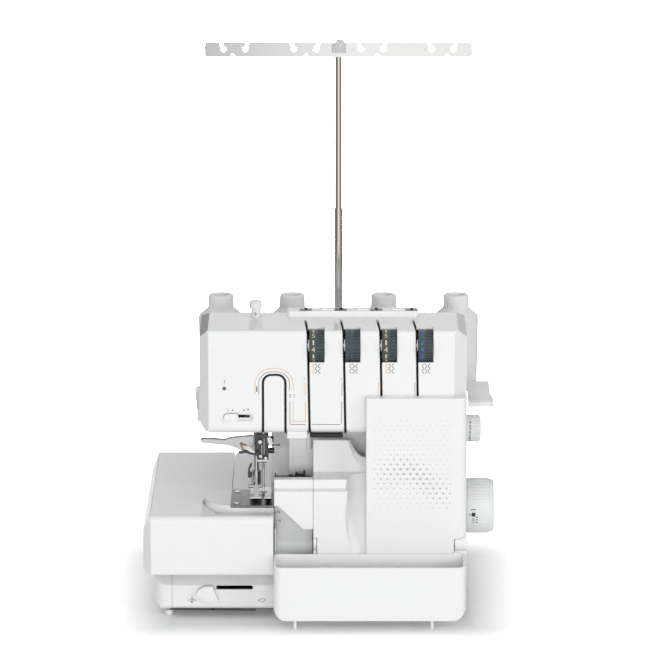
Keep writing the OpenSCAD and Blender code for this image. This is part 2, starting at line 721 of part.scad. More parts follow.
module needle_clamp() color("#9a9da0") difference() {
    union() {
        along_y(needle_y - 6, needle_y + 5) translate([needle_x, clamp_z]) polygon([
            [-4.5, 0], [4, 0], [5.5, 4], [5.5, clamp_h], [-7.5, clamp_h], [-7.5, 8], [-5.5, 3]]);
        // Clamp screw, thread hook and the heads of the set screws
        bar_x(needle_x + 5, needle_x + 10.5, needle_y, clamp_z + 23, 3.2);
        bar_x(needle_x + 5, needle_x + 11.2, needle_y, clamp_z + 11, 2.8);
        bar_x(needle_x + 5, needle_x + 17, needle_y - 1, clamp_z + 17, 0.6);
        bar_y(needle_x + 2.6, needle_y - 8, needle_y - 4, clamp_z + 5, 1.9);
        bar_y(needle_x - 2.6, needle_y - 8, needle_y - 4, clamp_z + 7, 1.9);
        bar_y(needle_x - 3, needle_y - 8, needle_y - 5, clamp_z + 22, 2.4);
    }
    bar_z(needle_x, needle_y, clamp_z + clamp_h - 6, clamp_z + clamp_h + cut, needle_bar_r);
    for (s = [-0.5, 0.5]) bar_z(needle_x + s * needle_pitch, needle_y, clamp_z - cut, clamp_z + 8, 0.9);
}

module needles() color("silver") for (s = [-0.5, 0.5]) translate([needle_x + s * needle_pitch, needle_y,
    0]) {
    translate([0, 0, clamp_z - 7]) cylinder(h = 15, r = 0.9);
    translate([0, 0, needle_tip_z + 4]) cylinder(h = clamp_z - 7 - needle_tip_z - 4, r = needle_r);
    translate([0, 0, needle_tip_z]) cylinder(h = 4, r1 = 0.12, r2 = needle_r);
}

foot_z = arm_top + seat + 1.7;

module presser_bar() color("silver") {
    bar_z(presser_x, presser_y, 131, 280, presser_bar_r);
    bar_z(presser_x, presser_y, 216, 222, presser_bar_r + 3);
}

module presser_foot() color("#b8bbbd") difference() {
    union() {
        block([-70.5, -70, foot_z], [-49, -26, foot_z + 2]);
        along_x(-70.5, -49) polygon([[-70, foot_z], [-70, foot_z + 2], [-78, foot_z + 5.5],
            [-78, foot_z + 3.5]]);
        block([presser_x - 2.8, presser_y - 12, foot_z + 1.5],
            [presser_x + 2.8, presser_y + 4, foot_z + 9]);
        bar_z(presser_x, presser_y, foot_z + 8, 136, presser_bar_r + 2.2);
        bar_x(presser_x - 8, presser_x + 5, presser_y - 9, foot_z + 7, 1.8);
        bar_x(presser_x - 9, presser_x, presser_y, 131, 2.4);
    }
    bar_z(presser_x, presser_y, 131, 140, presser_bar_r);
    block([needle_x - 3, needle_y - 3.5, foot_z - cut], [needle_x + 3.4, needle_y + 3.5, foot_z + 4]);
    block([needle_x - 1.2, -80, foot_z - cut], [needle_x + 1.6, needle_y, foot_z + 8]);
}

// The lifter: a pivot inside the head, an arm down through it and a paddle to the left.
module presser_lifter() color("gainsboro") difference() {
    union() {
        bar_y(lifter_pivot[0], lifter_y0, lifter_y1, lifter_pivot[1], 6);
        along_y(lifter_y0, lifter_y1) polygon([[-64.5, 199], [-55.5, 199], [-55.5, 156], [-60, 149],
            [-68, 145.5], [-78, 145.5], [-86, 150], [-95, 153], [-119.5, 155], [-122.6, 156.3],
            [-123, 158], [-120.6, 159.6], [-110, 159.4], [-98, 158.4], [-92, 160.6], [-66, 163]]);
    }
    bar_y(lifter_pivot[0], lifter_y0 - cut, lifter_y1 + cut, lifter_pivot[1], pivot_r + fit);
}

knife_x = arm_right_x + 0.7;
knife_pivot = [-26, 134]; // Y and Z of the knife shaft
knife_window = [column_x + wall + 0.2, -8];
arm_x = [-25, -15]; // the knife arm, left to right

module lower_knife() color("silver") {
    block([arm_right_x + 0.1, -62, 92], [knife_x - 0.1, -49.5, arm_top]);
    block([knife_x - 0.1, -60, 84], [knife_x + 4, -50, 92]);
    block([arm_right_x + 0.1, -62, 84], [knife_x - 0.1, -49.5, 92]);
}

// The upper knife and the arm that works it, on a shaft along X inside the column.
module upper_knife() color("#4a4d50") difference() {
    union() {
        bar_x(knife_window[0] + 1, knife_window[1] - 1, knife_pivot[0], knife_pivot[1], 6);
        along_x(arm_x[0], arm_x[1]) polygon([
            [knife_pivot[0], 128.5], [knife_pivot[0] - 4.5, 138], [-36, 127.7], [-50, 129.5],
            [-55, 136.5], [-61, 136.5], [-62, 130], [-52, 123], [-37, 119.6]]);
        block([-42, -62, 130], [arm_x[1], -55, 136.5]);
        block([knife_x + 0.1, -62, arm_top - 2.5], [knife_x + 1.5, -50, 138]);
        block([knife_x + 0.1, -60, 131], [-40, -55, 136.5]);
        along_y(-62, -58) polygon([[-36, 135], [-30.1, 139.2], [-25.6, 137.8], [-23.6, 141.8],
            [-21.6, 139.8], [-17, 139.8], [-15.8, 143.8], [-14.9, 143.2], [-14.6, 137.5], [-8.1, 136.4],
            [-8.1, 135]]);
    }
    bar_x(knife_window[0] - cut, knife_window[1] + cut, knife_pivot[0], knife_pivot[1], pivot_r + fit);
}

pivot_r = 3;
upper_looper_p = [14, 92];
lower_looper_p = [-20, 68];

// Both loopers swing on pins along Y; the blades lie one behind the other.
module upper_looper() color("silver") difference() {
    union() {
        bar_y(upper_looper_p[0], -56, -46, upper_looper_p[1], 7);
        along_y(-53.5, -49.2) polygon([[14, 98], [14, 86], [-4, 88], [-20, 96], [-34, 106], [-40, 116],
            [-36, 118], [-28, 112],
            [-14, 104]]);
    }
    bar_y(upper_looper_p[0], -57, -45, upper_looper_p[1], pivot_r + fit);
}

module lower_looper() color("silver") difference() {
    union() {
        bar_y(lower_looper_p[0], -50, -43, lower_looper_p[1], 7);
        along_y(-48, -45.5) polygon([[-24, 68], [-16, 68], [-18, 90], [-22, 99], [-30, 101.5],
            [-50, 100.5], [-50, 99],
            [-30, 97.5], [-26, 94]]);
    }
    bar_y(lower_looper_p[0], -51, -42, lower_looper_p[1], pivot_r + fit);
}

module pivot_pins() color("dimgray") {
    pin_y(upper_looper_p, -56);
    pin_y(lower_looper_p, -50);
    // Knife shaft, fixed in the frame's left upright
    bar_x(knife_window[0] + 0.5, upright_x[0], knife_pivot[0], knife_pivot[1], pivot_r);
    // Lifter pin between the frame and the rear cover
    bar_y(lifter_pivot[0], -4, head_rear_y - wall, lifter_pivot[1], pivot_r);
    // Hinge pins of the front cover
    bar_x(lip_x + 0.5, cover_left_end + 5.3, hinge_y, hinge_z, hinge_pin_r);
    bar_x(cover_right_end - 5, right_x - 4, hinge_y, hinge_z, hinge_pin_r);
}

// A looper's pin, from the bulkhead forward past the looper's hub at y, with a flat head.
module pin_y(p, y) {
    bar_y(p[0], y - 0.4, frame_front_y + wall, p[1], pivot_r);
    bar_y(p[0], y - 2.4, y - 0.4, p[1], pivot_r + 1.5);
}

// ---- Controls ----

bracket_t = 2;
disc_r = 7;
dial_groove = 1;

module tension_brackets() color("silver") for (i = [0:3]) {
    x1 = dial_x[i] + dial_w + gap;
    block([x1, head_y + wall, 264], [x1 + bracket_t, -66, head_top - wall - 6]);
    bar_x(slot_x[i] - 2, x1, dial_y, dial_z, dial_axle_r);
}

module tension_discs() color("silver") for (i = [0:3]) for (s = [-1.5, 0.6])
    difference() {
        bar_x(slot_x[i] + s, slot_x[i] + s + 0.8, dial_y, dial_z, disc_r);
        bar_x(slot_x[i] - 4, slot_x[i] + 4, dial_y, dial_z, dial_axle_r);
    }

module tension_dial(i) color("#3f484b") difference() {
    bar_x(dial_x[i], dial_x[i] + dial_w, dial_y, dial_z, dial_r);
    // Grip grooves round the right half of the rim
    for (a = [0:12:348]) translate([dial_x[i] + dial_w * 0.55, dial_y, dial_z]) rotate([a, 0, 0])
        translate([0, dial_r - dial_groove, -0.9]) cube([dial_w, dial_groove + 1, 1.8]);
    bar_x(dial_x[i] - cut, dial_x[i] + dial_w + cut, dial_y, dial_z, dial_axle_r + fit);
}

module tension_dial_1() tension_dial(0);
module tension_dial_2() tension_dial(1);
module tension_dial_3() tension_dial(2);
module tension_dial_4() tension_dial(3);

knob_top = head_top + 16.7;

module pressure_knob() color(white) translate([presser_x, presser_y, 0]) rotate_extrude() polygon([
    [0, head_top - wall - 6], [knob_neck_r, head_top - wall - 6], [knob_neck_r, knob_top - 8],
        [knob_neck_r + 1.6, knob_top - 7.4],
    [knob_neck_r + 1.6, knob_top - 1], [knob_neck_r + 0.6, knob_top], [0, knob_top]]);

slider_travel = 12;

module needle_slider() color(white) {
    along_y(head_y - 3.2, head_y + 3.2) rounded(slider_x0 + 0.4, slider_z0 + 0.4, slider_x0 + 15,
        slider_z1 - 0.4,
        [3.4, 3.4, 3.4, 3.4]);
    along_y(head_y + 3, head_y + 6.5) rounded(slider_x0 + 3.4, slider_z0 + 3, slider_x0 + 9,
        slider_z1 - 3, [0.8, 0.8, 0.8, 0.8]);
}

module status_lens() color("darkseagreen") bar_y(-95.5, head_y - 0.3, head_y + 1.5, 237.4, 1.8);

module thread_cutter() color(white) {
    along_y(-46, -38) polygon([[head_x, 226], [head_x - 4, 226], [head_x - 5.5, 222], [head_x - 5.5, 214],
        [head_x - 3, 212.5], [head_x - 3, 202], [head_x, 201]]);
    block([head_x - 4.6, -47.5, 204], [head_x - 3, -45.9, 220]);
}

guide_bar_x = [-32.5, 100];
guide_bar_top = head_top + 6.4;

module thread_guide_bar() color(white) {
    along_z(head_top, guide_bar_top) rounded(guide_bar_x[0], -34, guide_bar_x[1], -18, [3, 3, 3, 3]);
    for (x = [0.8, 36.6, 72.4]) along_z(guide_bar_top, guide_bar_top + 1.4) rounded(x, -30, x + 14, -21,
        [2, 2, 2, 2]);
}

module guide_clips() color("#6a6d70") for (x = [-14, 21.7, 57.5, 93.2]) {
    block([x - 6, -32, guide_bar_top], [x + 6, -24, guide_bar_top + 0.6]);
    bar_z(x, -28, guide_bar_top + 0.6, guide_bar_top + 2.2, 1.3);
}

// ---- Front cover and bin ----

// Lower part of the cover from the side, drawn t inside its outer face and open at the back.
module scoop_side(t) {
    open = t > 0 ? 2 : 0;
    polygon([
        [cover_y + t, cover_skirt_z - open], [cover_y + 2 + t, 133.4 - t], [cover_y + 10 + t, 134.5 - t],
        [cover_y + 10 + t, ledge_z - t], [-70 + t, ledge_z - t], [-70 + t, scoop_top - t],
        [-66 + open, scoop_top - t], [-66 + open, ledge_z - 4], [-98 + open, 66],
            [-98 + open, cover_skirt_z - open]]);
}

valley_r = 20;

// The sculpted valley beside the right panel: a round bar that comes forward as it goes down.
module valley(t) translate([panel_x, -94, ledge_z]) rotate([-22.7, 0, 0])
    translate([0, 0, -130]) cylinder(h = 190, r = valley_r + t);

module cover_clearance(x0, x1) {
    bar_x(x0, x1, hinge_y, hinge_z, pillar_r + 0.5);
    block([x0, cover_y - 5, 0], [x1, -60, hinge_z]);
}

module front_cover() color(white) difference() {
    union() {
        // Scooped middle
        difference() {
            along_x(lip_x + 0.15, panel_x + 1) scoop_side(0);
            difference() {
                along_x(lip_x + wall, panel_x + 2) scoop_side(wall);
                valley(wall);
            }
            valley(0);
        }
        // Right panel
        difference() {
            along_z(cover_skirt_z, cover_top) rounded(panel_x, cover_y, right_x, -94.5, [1.5, 8.5, 0, 0]);
            along_z(cover_skirt_z - cut, cover_top - wall)
                rounded(panel_x + wall, cover_y + wall, right_x - wall, -90, [0, 5.5, 0, 0]);
            block([panel_x - cut, head_y - 0.6, head_z - 3], [right_x + cut, -80, cover_top + cut]);
        }
        // The panel's left flank behind the scoop
        along_x(panel_x, panel_x + wall) polygon([[cover_y + 1, cover_skirt_z],
            [cover_y + 1, scoop_top], [-66, scoop_top],
            [-66, ledge_z - 4], [-98, 66], [-98, cover_skirt_z]]);
        // Hinge lugs
        for (x = [cover_left_end + 0.3, cover_right_end - 5]) {
            bar_x(x, x + 5, hinge_y, hinge_z, knuckle_r);
            block([x, cover_y + 1, hinge_z - 3], [x + 5, hinge_y, hinge_z + 3]);
        }
    }
    cover_clearance(lip_x - cut, cover_left_end);
    cover_clearance(cover_right_end, right_x + cut);
    for (x = [cover_left_end - cut, cover_right_end - 6]) bar_x(x, x + 8, hinge_y, hinge_z,
        hinge_pin_r + fit);
}

// The lip in front of the needle plate, with the slanted edge of the trim opening.
module cover_lip() color(white) difference() {
    along_x(lip_left_x, lip_x - 0.15) difference() {
        scoop_side(0);
        scoop_side(wall);
        translate([-90, 0]) square([60, 200]);
    }
    along_y(-120, -60) polygon([[-60, 40], [-60, 118.3], [-41.8, 118.3], [-17.7, 95.4], [-17.7, 94.4],
        [0, 94.4], [0, 40]]);
}

bin_x0 = -46;
bin_x1 = 146;
bin_bottom = 11.5;
bin_rear_y = toe_y - seat;
bin_back_top = 54;

module trim_bin() color(white) {
    difference() {
        intersection() {
            along_y(bin_y, bin_rear_y) rounded(bin_x0, bin_bottom, bin_x1, 72, [13, 13, 0, 0]);
            along_z(0, 100) rounded(bin_x0, bin_y, bin_x1, bin_rear_y, [8, 8, 0, 0]);
            along_x(bin_x0, bin_x1) polygon([[bin_y, 0], [bin_rear_y, 0], [bin_rear_y, bin_back_top],
                [bin_rear_y - 0.5, bin_back_top], [-112.5, 69.5], [bin_y + 2, bin_rim_z],
                [bin_y, bin_rim_z]]);
        }
        intersection() {
            along_y(bin_y + bin_wall, bin_rear_y - bin_wall) rounded(bin_x0 + bin_wall,
                bin_bottom + bin_wall,
                bin_x1 - bin_wall, 80, [11, 11, 0, 0]);
            along_z(0, 100) rounded(bin_x0 + bin_wall, bin_y + bin_wall, bin_x1 - bin_wall,
                bin_rear_y - bin_wall, [6, 6, 0, 0]);
        }
    }
    // The rear corners rise so that trimmings fall inwards
    along_y(-113, -111) polygon([[116, 50], [141, 50], [143.6, 66], [139.8, 71.2],
        [135.5, 71.2], [127, 62]]);
    along_y(-112, -110.8) polygon([[116, 50], [141, 50], [141, 55], [116, 55]]);
    for (x = [-24.6, 112.9]) bar_z(x, bin_y + 10, seat, bin_bottom + 1, 1.7);
}

// ---- Extension table ----

table_y = -115;
well_y = 14; // from the table's front to the well that the arm stands in
table_rear_y = 155;
table_bottom = base_top + 0.4;
table_right_x = arm_right_x;

module table_plan(t) difference() {
    polygon([[table_x + 8 + t, table_y + t], [table_right_x - t, table_y + t],
        [table_right_x - t, table_rear_y - t],
        [table_x + 6 + t, table_rear_y - t], [table_x + t, table_rear_y - 8 - t],
            [table_x + t, table_y + 11 + t]]);
    translate([arm_mid_x, arm_mid_y]) circle(arm_left_r + gap + t);
    translate([arm_mid_x, arm_y - gap - t]) square([60, arm_d + 2 * gap + 2 * t]);
    translate([bed_x - gap - t, arm_mid_y]) square([80, 220]);
    // The well in front of the arm
    translate([arm_mid_x - arm_left_r - gap - t, table_y + well_y - t])
        square([80, arm_mid_y - table_y - well_y + t]);
}

module table_front(t) polygon([
    [table_x + 7 + t, table_bottom - (t > 0 ? cut : 0)], [table_right_x - t,
        table_bottom - (t > 0 ? cut : 0)],
    [table_right_x - t, table_top - t], [table_x + 7 + t, table_top - t], [table_x + t, 91.6],
        [table_x + t, 52]]);

module extension_table() color(white) difference() {
    intersection() {
        along_z(table_bottom, table_top) table_plan(0);
        along_y(table_y, table_rear_y) table_front(0);
        along_x(table_x, table_right_x) rounded(table_y, table_bottom, table_rear_y, table_top, [3, 0, 3,
            7]);
    }
    intersection() {
        along_z(table_bottom - cut, table_top - wall) table_plan(wall);
        along_y(table_y, table_rear_y) table_front(wall);
    }
}

lever_x = -111.5;

module mode_lever() color(white) {
    along_y(base_y - 7, base_y - 0.5) polygon([[lever_x - 13, 25.5], [lever_x - 11, 30], [lever_x - 5, 33.6],
        [lever_x + 3, 34], [lever_x + 9, 19.5], [lever_x + 8.4, 17], [lever_x + 4, 15.8], [lever_x - 3, 18]]);
    block([lever_x - 4.5, base_y - 1, slot_z0 + 0.4], [lever_x + 4.5, base_y + 10, slot_z1 - 0.4]);
    block([lever_x - 7, base_y + panel_t + 0.3, slot_z0 - 2.5],
        [lever_x + 7, base_y + panel_t + 3, slot_z1 - 0.4]);
}

// ---- Right side controls ----

pump_y = 20;
pump_z = 213.5;
pump_pin_r = 2.5;

module stitch_dial() color(white) translate([0, stitch_y, stitch_z]) rotate([0, 90, 0]) {
    translate([0, 0, inner_x - 4]) cylinder(h = right_x + 2 - inner_x + 4, r = stitch_shaft_r);
    translate([0, 0, inner_x - 5.5]) cylinder(h = 2, r = stitch_shaft_r + 2.5);
    translate([0, 0, right_x + 1.4]) cylinder(h = 6.2, r = stitch_r);
    translate([0, 0, right_x + 7.6]) cylinder(h = 7, r = stitch_r - 0.9);
    translate([0, 0, right_x + 14.6]) cylinder(h = 1.4, r1 = stitch_r - 0.9, r2 = stitch_r - 2.2);
    for (a = [0:15:345]) rotate([0, 0, a]) translate([stitch_r - 1.4, -0.9, right_x + 7.6]) cube([1.4,
        1.8, 7]);
}

module pump_lever() color(white) {
    bar_x(inner_x + 0.3, 174, pump_y, pump_z, pump_pin_r);
    bar_x(right_x + 2, 174, pump_y, pump_z, 3.9);
    along_x(right_x + 3, 174) polygon([[pump_y, 217.2], [pump_y, 211], [-30, 205.5], [-38, 204],
        [-42, 204.5],
        [-42, 209.5], [-38, 210.6], [-20, 211.5]]);
    along_z(204.5, 210.2) polygon([[173, pump_y - 8], [177, -30], [177, -38], [173, -42], [160, -42],
        [160, -30]]);
}

inlet_y0 = 92;
inlet_y1 = 112;
inlet_z0 = 60;
inlet_z1 = 100;
rocker_y = (inlet_y0 + inlet_y1) / 2;
rocker_z = 89.5;
rocker_half = 7.5;
rocker_pin_r = 1.2;

module power_inlet() color("#2a2c2e") difference() {
    block([inner_x - 14, inlet_y0, inlet_z0], [right_x, inlet_y1, inlet_z1]);
    block([right_x - 9, inlet_y0 + 3, inlet_z0 + 3], [right_x + cut, inlet_y1 - 3, inlet_z0 + 19]);
    block([right_x - 12, inlet_y0 + 4, rocker_z - rocker_half - 0.6],
        [right_x + cut, inlet_y1 - 4, rocker_z + rocker_half + 0.6]);
    bar_y(right_x - 4, inlet_y0 + 2, inlet_y1 - 2, rocker_z, rocker_pin_r + fit);
}

// Rocker of the power switch, on its own two pin ends.
module power_switch() color("#151617") {
    along_y(inlet_y0 + 4.4, inlet_y1 - 4.4) polygon([
        [right_x - 9, rocker_z - 4], [right_x - 1.6, rocker_z - rocker_half + 0.8],
            [right_x + 0.9, rocker_z - rocker_half],
        [right_x - 0.6, rocker_z], [right_x + 0.9, rocker_z + rocker_half],
            [right_x - 1.6, rocker_z + rocker_half - 0.8],
        [right_x - 9, rocker_z + 4]]);
    bar_y(right_x - 4, inlet_y0 + 2.4, inlet_y1 - 2.4, rocker_z, rocker_pin_r);
}

// ---- Thread stand ----

module spool_stand() color(white) difference() {
    union() {
        difference() {
            along_z(stand_z, stand_top) rounded(stand_x, head_rear_y, right_x, stand_rear_y, [2, 2, 26,
                20]);
            along_z(stand_z - cut, stand_top - wall) rounded(stand_x + wall, head_rear_y + wall,
                right_x - wall,
                stand_rear_y - wall, [0, 0, 23, 17]);
        }
        bar_z(pole_x, spool_y, stand_z, stand_top - wall + cut, pole_r + 4);
    }
    bar_z(pole_x, spool_y, stand_z - cut, stand_top + cut, pole_r);
}

stand_x = -127;
stand_rear_y = 142;
cushion_z = stand_top;
cone_z = cushion_z + cushion_t + seat;

module spool_pins() color("gainsboro") for (x = spool_x) {
    bar_z(x, spool_y, stand_top, cone_z + 80, spool_pin_r);
    difference() {
        bar_z(x, spool_y, cushion_z, cushion_z + cushion_t, cone_r - 3);
        bar_z(x, spool_y, cushion_z - cut, cushion_z + cushion_t + cut, spool_pin_r);
    }
}

module thread_cones() color("whitesmoke") for (x = spool_x) translate([x, spool_y, cone_z]) rotate_extrude()
    polygon([[4.5, 0], [cone_r - 1, 0], [cone_r, 2], [cone_r + 1.1, cone_h - 24],
        [cone_r - 0.5, cone_h - 21],
        [13.6, cone_h - 13.5], [13.2, cone_h - 1], [12.2, cone_h], [8, cone_h], [7, cone_h - 3],
            [4.5, cone_h - 6]]);

module pole_lower() color("silver") difference() {
    union() {
        bar_z(pole_x, spool_y, stand_z, pole_top, pole_r);
        bar_z(pole_x, spool_y, stand_top, stand_top + 8, pole_r + 4);
    }
    bar_z(pole_x, spool_y, stand_z - cut, pole_top + cut, tube_r + fit);
}

holder_z0 = guide_z - 3;
holder_z1 = guide_z + 9.8;
guide_y = spool_y - tube_r - guide_t - 0.3; // the plate stands in front of the tube

module pole_upper() color("silver") bar_z(pole_x, spool_y, 250, holder_z0, tube_r);

module guide_holder() color("#6f7275") difference() {
    union() {
        along_z(holder_z0, holder_z1 - 4)
            rounded(pole_x - 6.8, guide_y - 1.6, pole_x + 7.6, spool_y + 6, [1.4, 1.4, 2, 2]);
        bar_y(pole_x + 1.4, guide_y - 2.6, spool_y + 5, holder_z1 - 5.2, 5.2);
    }
    block([pole_x - 10, guide_y, holder_z0 - cut], [pole_x + 12, guide_y + guide_t, guide_z + guide_h / 2]);
}

// One hook notch: a round eye with a slanted way out of the top edge; s is which way it leans.
module hook(x, s) {
    translate([x, 0.5]) circle(2.9);
    polygon([[x - 1.6, 0.5], [x + 1.6, 0.5], [x + 1.6 + s * 6, guide_h], [x - 1.6 + s * 6, guide_h]]);
}

module thread_guide_plate() color("silver") translate([pole_x, 0, guide_z]) along_y(guide_y,
    guide_y + guide_t)
    difference() {
        rounded(-guide_half, -guide_h / 2, guide_half, guide_h / 2, [4, 4, 4, 4]);
        for (side = [-1, 1]) for (p = [[23, -1], [46, 1], [96, -1],
            [118.6, 1]]) hook(side * p[0], side * p[1]);
        for (x = [-109, -33.2, 40, 111.6]) translate([x, -guide_h / 2]) polygon([[-4, -cut], [4, -cut],
            [0.5, 3.6], [-0.5, 3.6]]);
    }

base_housing();
lever_panel();
bottom_plate();
machine_feet();
main_housing();
right_side_cover();
head_front_cover();
head_rear_cover();
slot_liners();
free_arm();
needle_plate();
waste_chute();
machine_frame();
shaft_bushes();
main_shaft();
handwheel();
drive_pulley();
motor();
motor_pulley();
drive_belt();
needle_bar();
needle_clamp();
needles();
presser_bar();
presser_foot();
presser_lifter();
feed_dogs();
lower_knife();
upper_knife();
upper_looper();
lower_looper();
pivot_pins();
tension_brackets();
tension_discs();
tension_dial_1();
tension_dial_2();
tension_dial_3();
tension_dial_4();
pressure_knob();
needle_slider();
status_lens();
thread_cutter();
thread_guide_bar();
guide_clips();
front_cover();
cover_lip();
trim_bin();
extension_table();
mode_lever();
stitch_dial();
pump_lever();
spool_stand();
spool_pins();
thread_cones();
pole_lower();
pole_upper();
guide_holder();
thread_guide_plate();
power_inlet();
power_switch();
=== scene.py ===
"""Dresses the household overlock machine: finishes, printed marks, small hardware and studio."""

import json
import logging
import math
from contextlib import contextmanager
from dataclasses import dataclass, field
from enum import Enum
from typing import Callable, Dict, Iterator, List, Optional, Sequence, Tuple, Union

import bmesh
import bpy
from mathutils import Matrix, Vector

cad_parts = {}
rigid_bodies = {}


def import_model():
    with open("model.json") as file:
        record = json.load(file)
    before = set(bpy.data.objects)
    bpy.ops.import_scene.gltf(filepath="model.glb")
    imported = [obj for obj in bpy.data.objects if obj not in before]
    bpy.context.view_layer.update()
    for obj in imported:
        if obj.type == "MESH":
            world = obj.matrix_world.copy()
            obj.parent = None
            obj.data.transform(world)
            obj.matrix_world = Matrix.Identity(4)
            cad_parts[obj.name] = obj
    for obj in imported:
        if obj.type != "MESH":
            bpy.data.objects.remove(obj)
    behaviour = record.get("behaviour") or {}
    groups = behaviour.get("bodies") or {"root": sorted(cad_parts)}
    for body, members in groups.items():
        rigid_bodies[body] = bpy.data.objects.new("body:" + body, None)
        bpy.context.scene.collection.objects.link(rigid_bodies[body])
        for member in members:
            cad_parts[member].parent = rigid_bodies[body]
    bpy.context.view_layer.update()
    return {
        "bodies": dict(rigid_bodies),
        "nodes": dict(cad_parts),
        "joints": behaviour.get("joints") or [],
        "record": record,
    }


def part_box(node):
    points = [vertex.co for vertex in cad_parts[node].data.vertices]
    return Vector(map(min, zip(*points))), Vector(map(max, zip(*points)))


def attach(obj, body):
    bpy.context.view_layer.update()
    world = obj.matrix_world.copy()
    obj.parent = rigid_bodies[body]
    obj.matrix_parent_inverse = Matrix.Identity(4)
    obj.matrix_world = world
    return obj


LOG = logging.getLogger("overlock")
MM = 0.001
Colour = Tuple[float, float, float]
Piece = bpy.types.Object
Term = Union["Value", float]
Point = Tuple[float, float, float]
Route = Tuple[Tuple[float, float], ...]
PROUD = 0.06  # how far a print stands off its face, in mm
CAPITAL = 0.7  # height of a capital, as a share of the font's size
EDGE_BREAK = 0.16  # how far a cut plate's edges are broken, in mm
UPWARD = 0.9  # least Z of the normal of a face that counts as a top
WHITE = (1.0, 1.0, 1.0, 1.0)


# --- Shader maths ---


class Value:
    """One number or vector in a material, which ordinary arithmetic can work on."""

    def __init__(self, sheet: "Sheet", socket: bpy.types.NodeSocket) -> None:
        """Wraps a socket of a sheet."""
        self.sheet = sheet
        self.socket = socket

    def _math(self, operation: str, *terms: Term) -> "Value":
        """Adds one Math node.

        Args:
            operation: The Math node's operation.
            terms: Its inputs in order.

        Returns:
            The node's result.
        """
        inputs = dict(enumerate(terms))
        return self.sheet.node("ShaderNodeMath", {"operation": operation}, inputs)

    def __add__(self, other: Term) -> "Value":
        """Sum."""
        return self._math("ADD", self, other)

    __radd__ = __add__

    def __sub__(self, other: Term) -> "Value":
        """Difference."""
        return self._math("SUBTRACT", self, other)

    def __rsub__(self, other: Term) -> "Value":
        """Reflected difference."""
        return self._math("SUBTRACT", other, self)

    def __mul__(self, other: Term) -> "Value":
        """Product."""
        return self._math("MULTIPLY", self, other)

    __rmul__ = __mul__

    def above(self, other: Term) -> "Value":
        """The greater of the two."""
        return self._math("MAXIMUM", self, other)


class Sheet:
    """The node tree of one material or of the world, built from plain calls."""

    def __init__(self, name: str, world: bool = False) -> None:
        """Starts an empty tree.

        Args:
            name: The material's or the world's name.
            world: Whether it is the world's.
        """
        self.owner = (bpy.data.worlds if world else bpy.data.materials).new(name)
        self.owner.use_nodes = True
        self.tree = self.owner.node_tree
        self.tree.nodes.clear()

    def node(
        self,
        kind: str,
        settings: Optional[Dict[str, object]] = None,
        inputs: Optional[Dict[Union[int, str], object]] = None,
        output: Union[int, str] = 0,
    ) -> Value:
        """Adds a node, with its settings made before its inputs are filled.

        Args:
            kind: The node's type name.
            settings: Properties of the node.
            inputs: Values or links by socket name or number.
            output: Which output to hand back.

        Returns:
            The chosen output.
        """
        made = self.tree.nodes.new(kind)
        for key, value in (settings or {}).items():
            setattr(made, key, value)
        for key, value in (inputs or {}).items():
            if isinstance(value, Value):
                self.tree.links.new(value.socket, made.inputs[key])
            else:
                made.inputs[key].default_value = value
        return Value(self, made.outputs[output])

    def place(self) -> Value:
        """The point on the object, in metres."""
        return self.node("ShaderNodeTexCoord", output="Object")

    def noise(self, scale: float, detail: float = 2.0, stretch: Point = (1.0, 1.0, 1.0)) -> Value:
        """Cloudy noise over the object.

        Args:
            scale: Cells per metre.
            detail: Octaves of finer noise.
            stretch: Scale along each axis, for a grain that runs one way.

        Returns:
            The noise, from 0 to 1.
        """
        mapped = self.node("ShaderNodeMapping", {}, {"Vector": self.place(), "Scale": stretch})
        return self.node(
            "ShaderNodeTexNoise", {}, {"Vector": mapped, "Scale": scale, "Detail": detail}
        )

    def blend(self, amount: Value, first: Colour, second: Colour) -> Value:
        """Mixes two colours by an amount.

        Args:
            amount: 0 for the first, 1 for the second.
            first: A colour.
            second: Another colour.

        Returns:
            The mixed colour.
        """
        made = self.tree.nodes.new("ShaderNodeMix")
        made.data_type = "RGBA"
        self.tree.links.new(amount.socket, made.inputs["Factor"])
        made.inputs[6].default_value = (*first, 1.0)
        made.inputs[7].default_value = (*second, 1.0)
        return Value(self, made.outputs[2])

    def relief(self, height: Value, depth: float, edge_radius: float) -> Value:
        """Turns a height into a surface normal on softly rounded edges.

        Args:
            height: The height, from 0 to 1.
            depth: What a height of 1 stands for, in metres.
            edge_radius: Radius of the rounding on sharp edges, in metres.

        Returns:
            The normal.
        """
        inputs: Dict[Union[int, str], object] = {"Height": height, "Distance": depth}
        inputs["Strength"] = 1.0
        if edge_radius > 0:
            inputs["Normal"] = self.node("ShaderNodeBevel", {"samples": 6}, {"Radius": edge_radius})
        return self.node("ShaderNodeBump", {}, inputs)

    def surface(self, **sockets: object) -> bpy.types.Material:
        """Ends the sheet with one Principled surface.

        Args:
            sockets: Its inputs, with underscores for spaces.

        Returns:
            The finished material.
        """
        inputs = {key.replace("_", " "): value for key, value in sockets.items()}
        shader = self.node("ShaderNodeBsdfPrincipled", {}, inputs)
        return self.end(shader)

    def end(self, shader: Value, kind: str = "ShaderNodeOutputMaterial") -> bpy.types.ID:
        """Ends the sheet with a shader.

        Args:
            shader: What is shown.
            kind: The output node's type name.

        Returns:
            The finished material or world.
        """
        output = self.tree.nodes.new(kind)
        self.tree.links.new(shader.socket, output.inputs["Surface"])
        return self.owner


# --- Finishes ---


def shade(colour: Colour, factor: float) -> Colour:
    """A colour made lighter or darker by a factor."""
    return (colour[0] * factor, colour[1] * factor, colour[2] * factor)


@dataclass(frozen=True)
class Finish:
    """A finish, with its name and its main colour."""

    name: str
    colour: Colour

    def build(self) -> bpy.types.Material:
        """Makes the material."""
        raise NotImplementedError


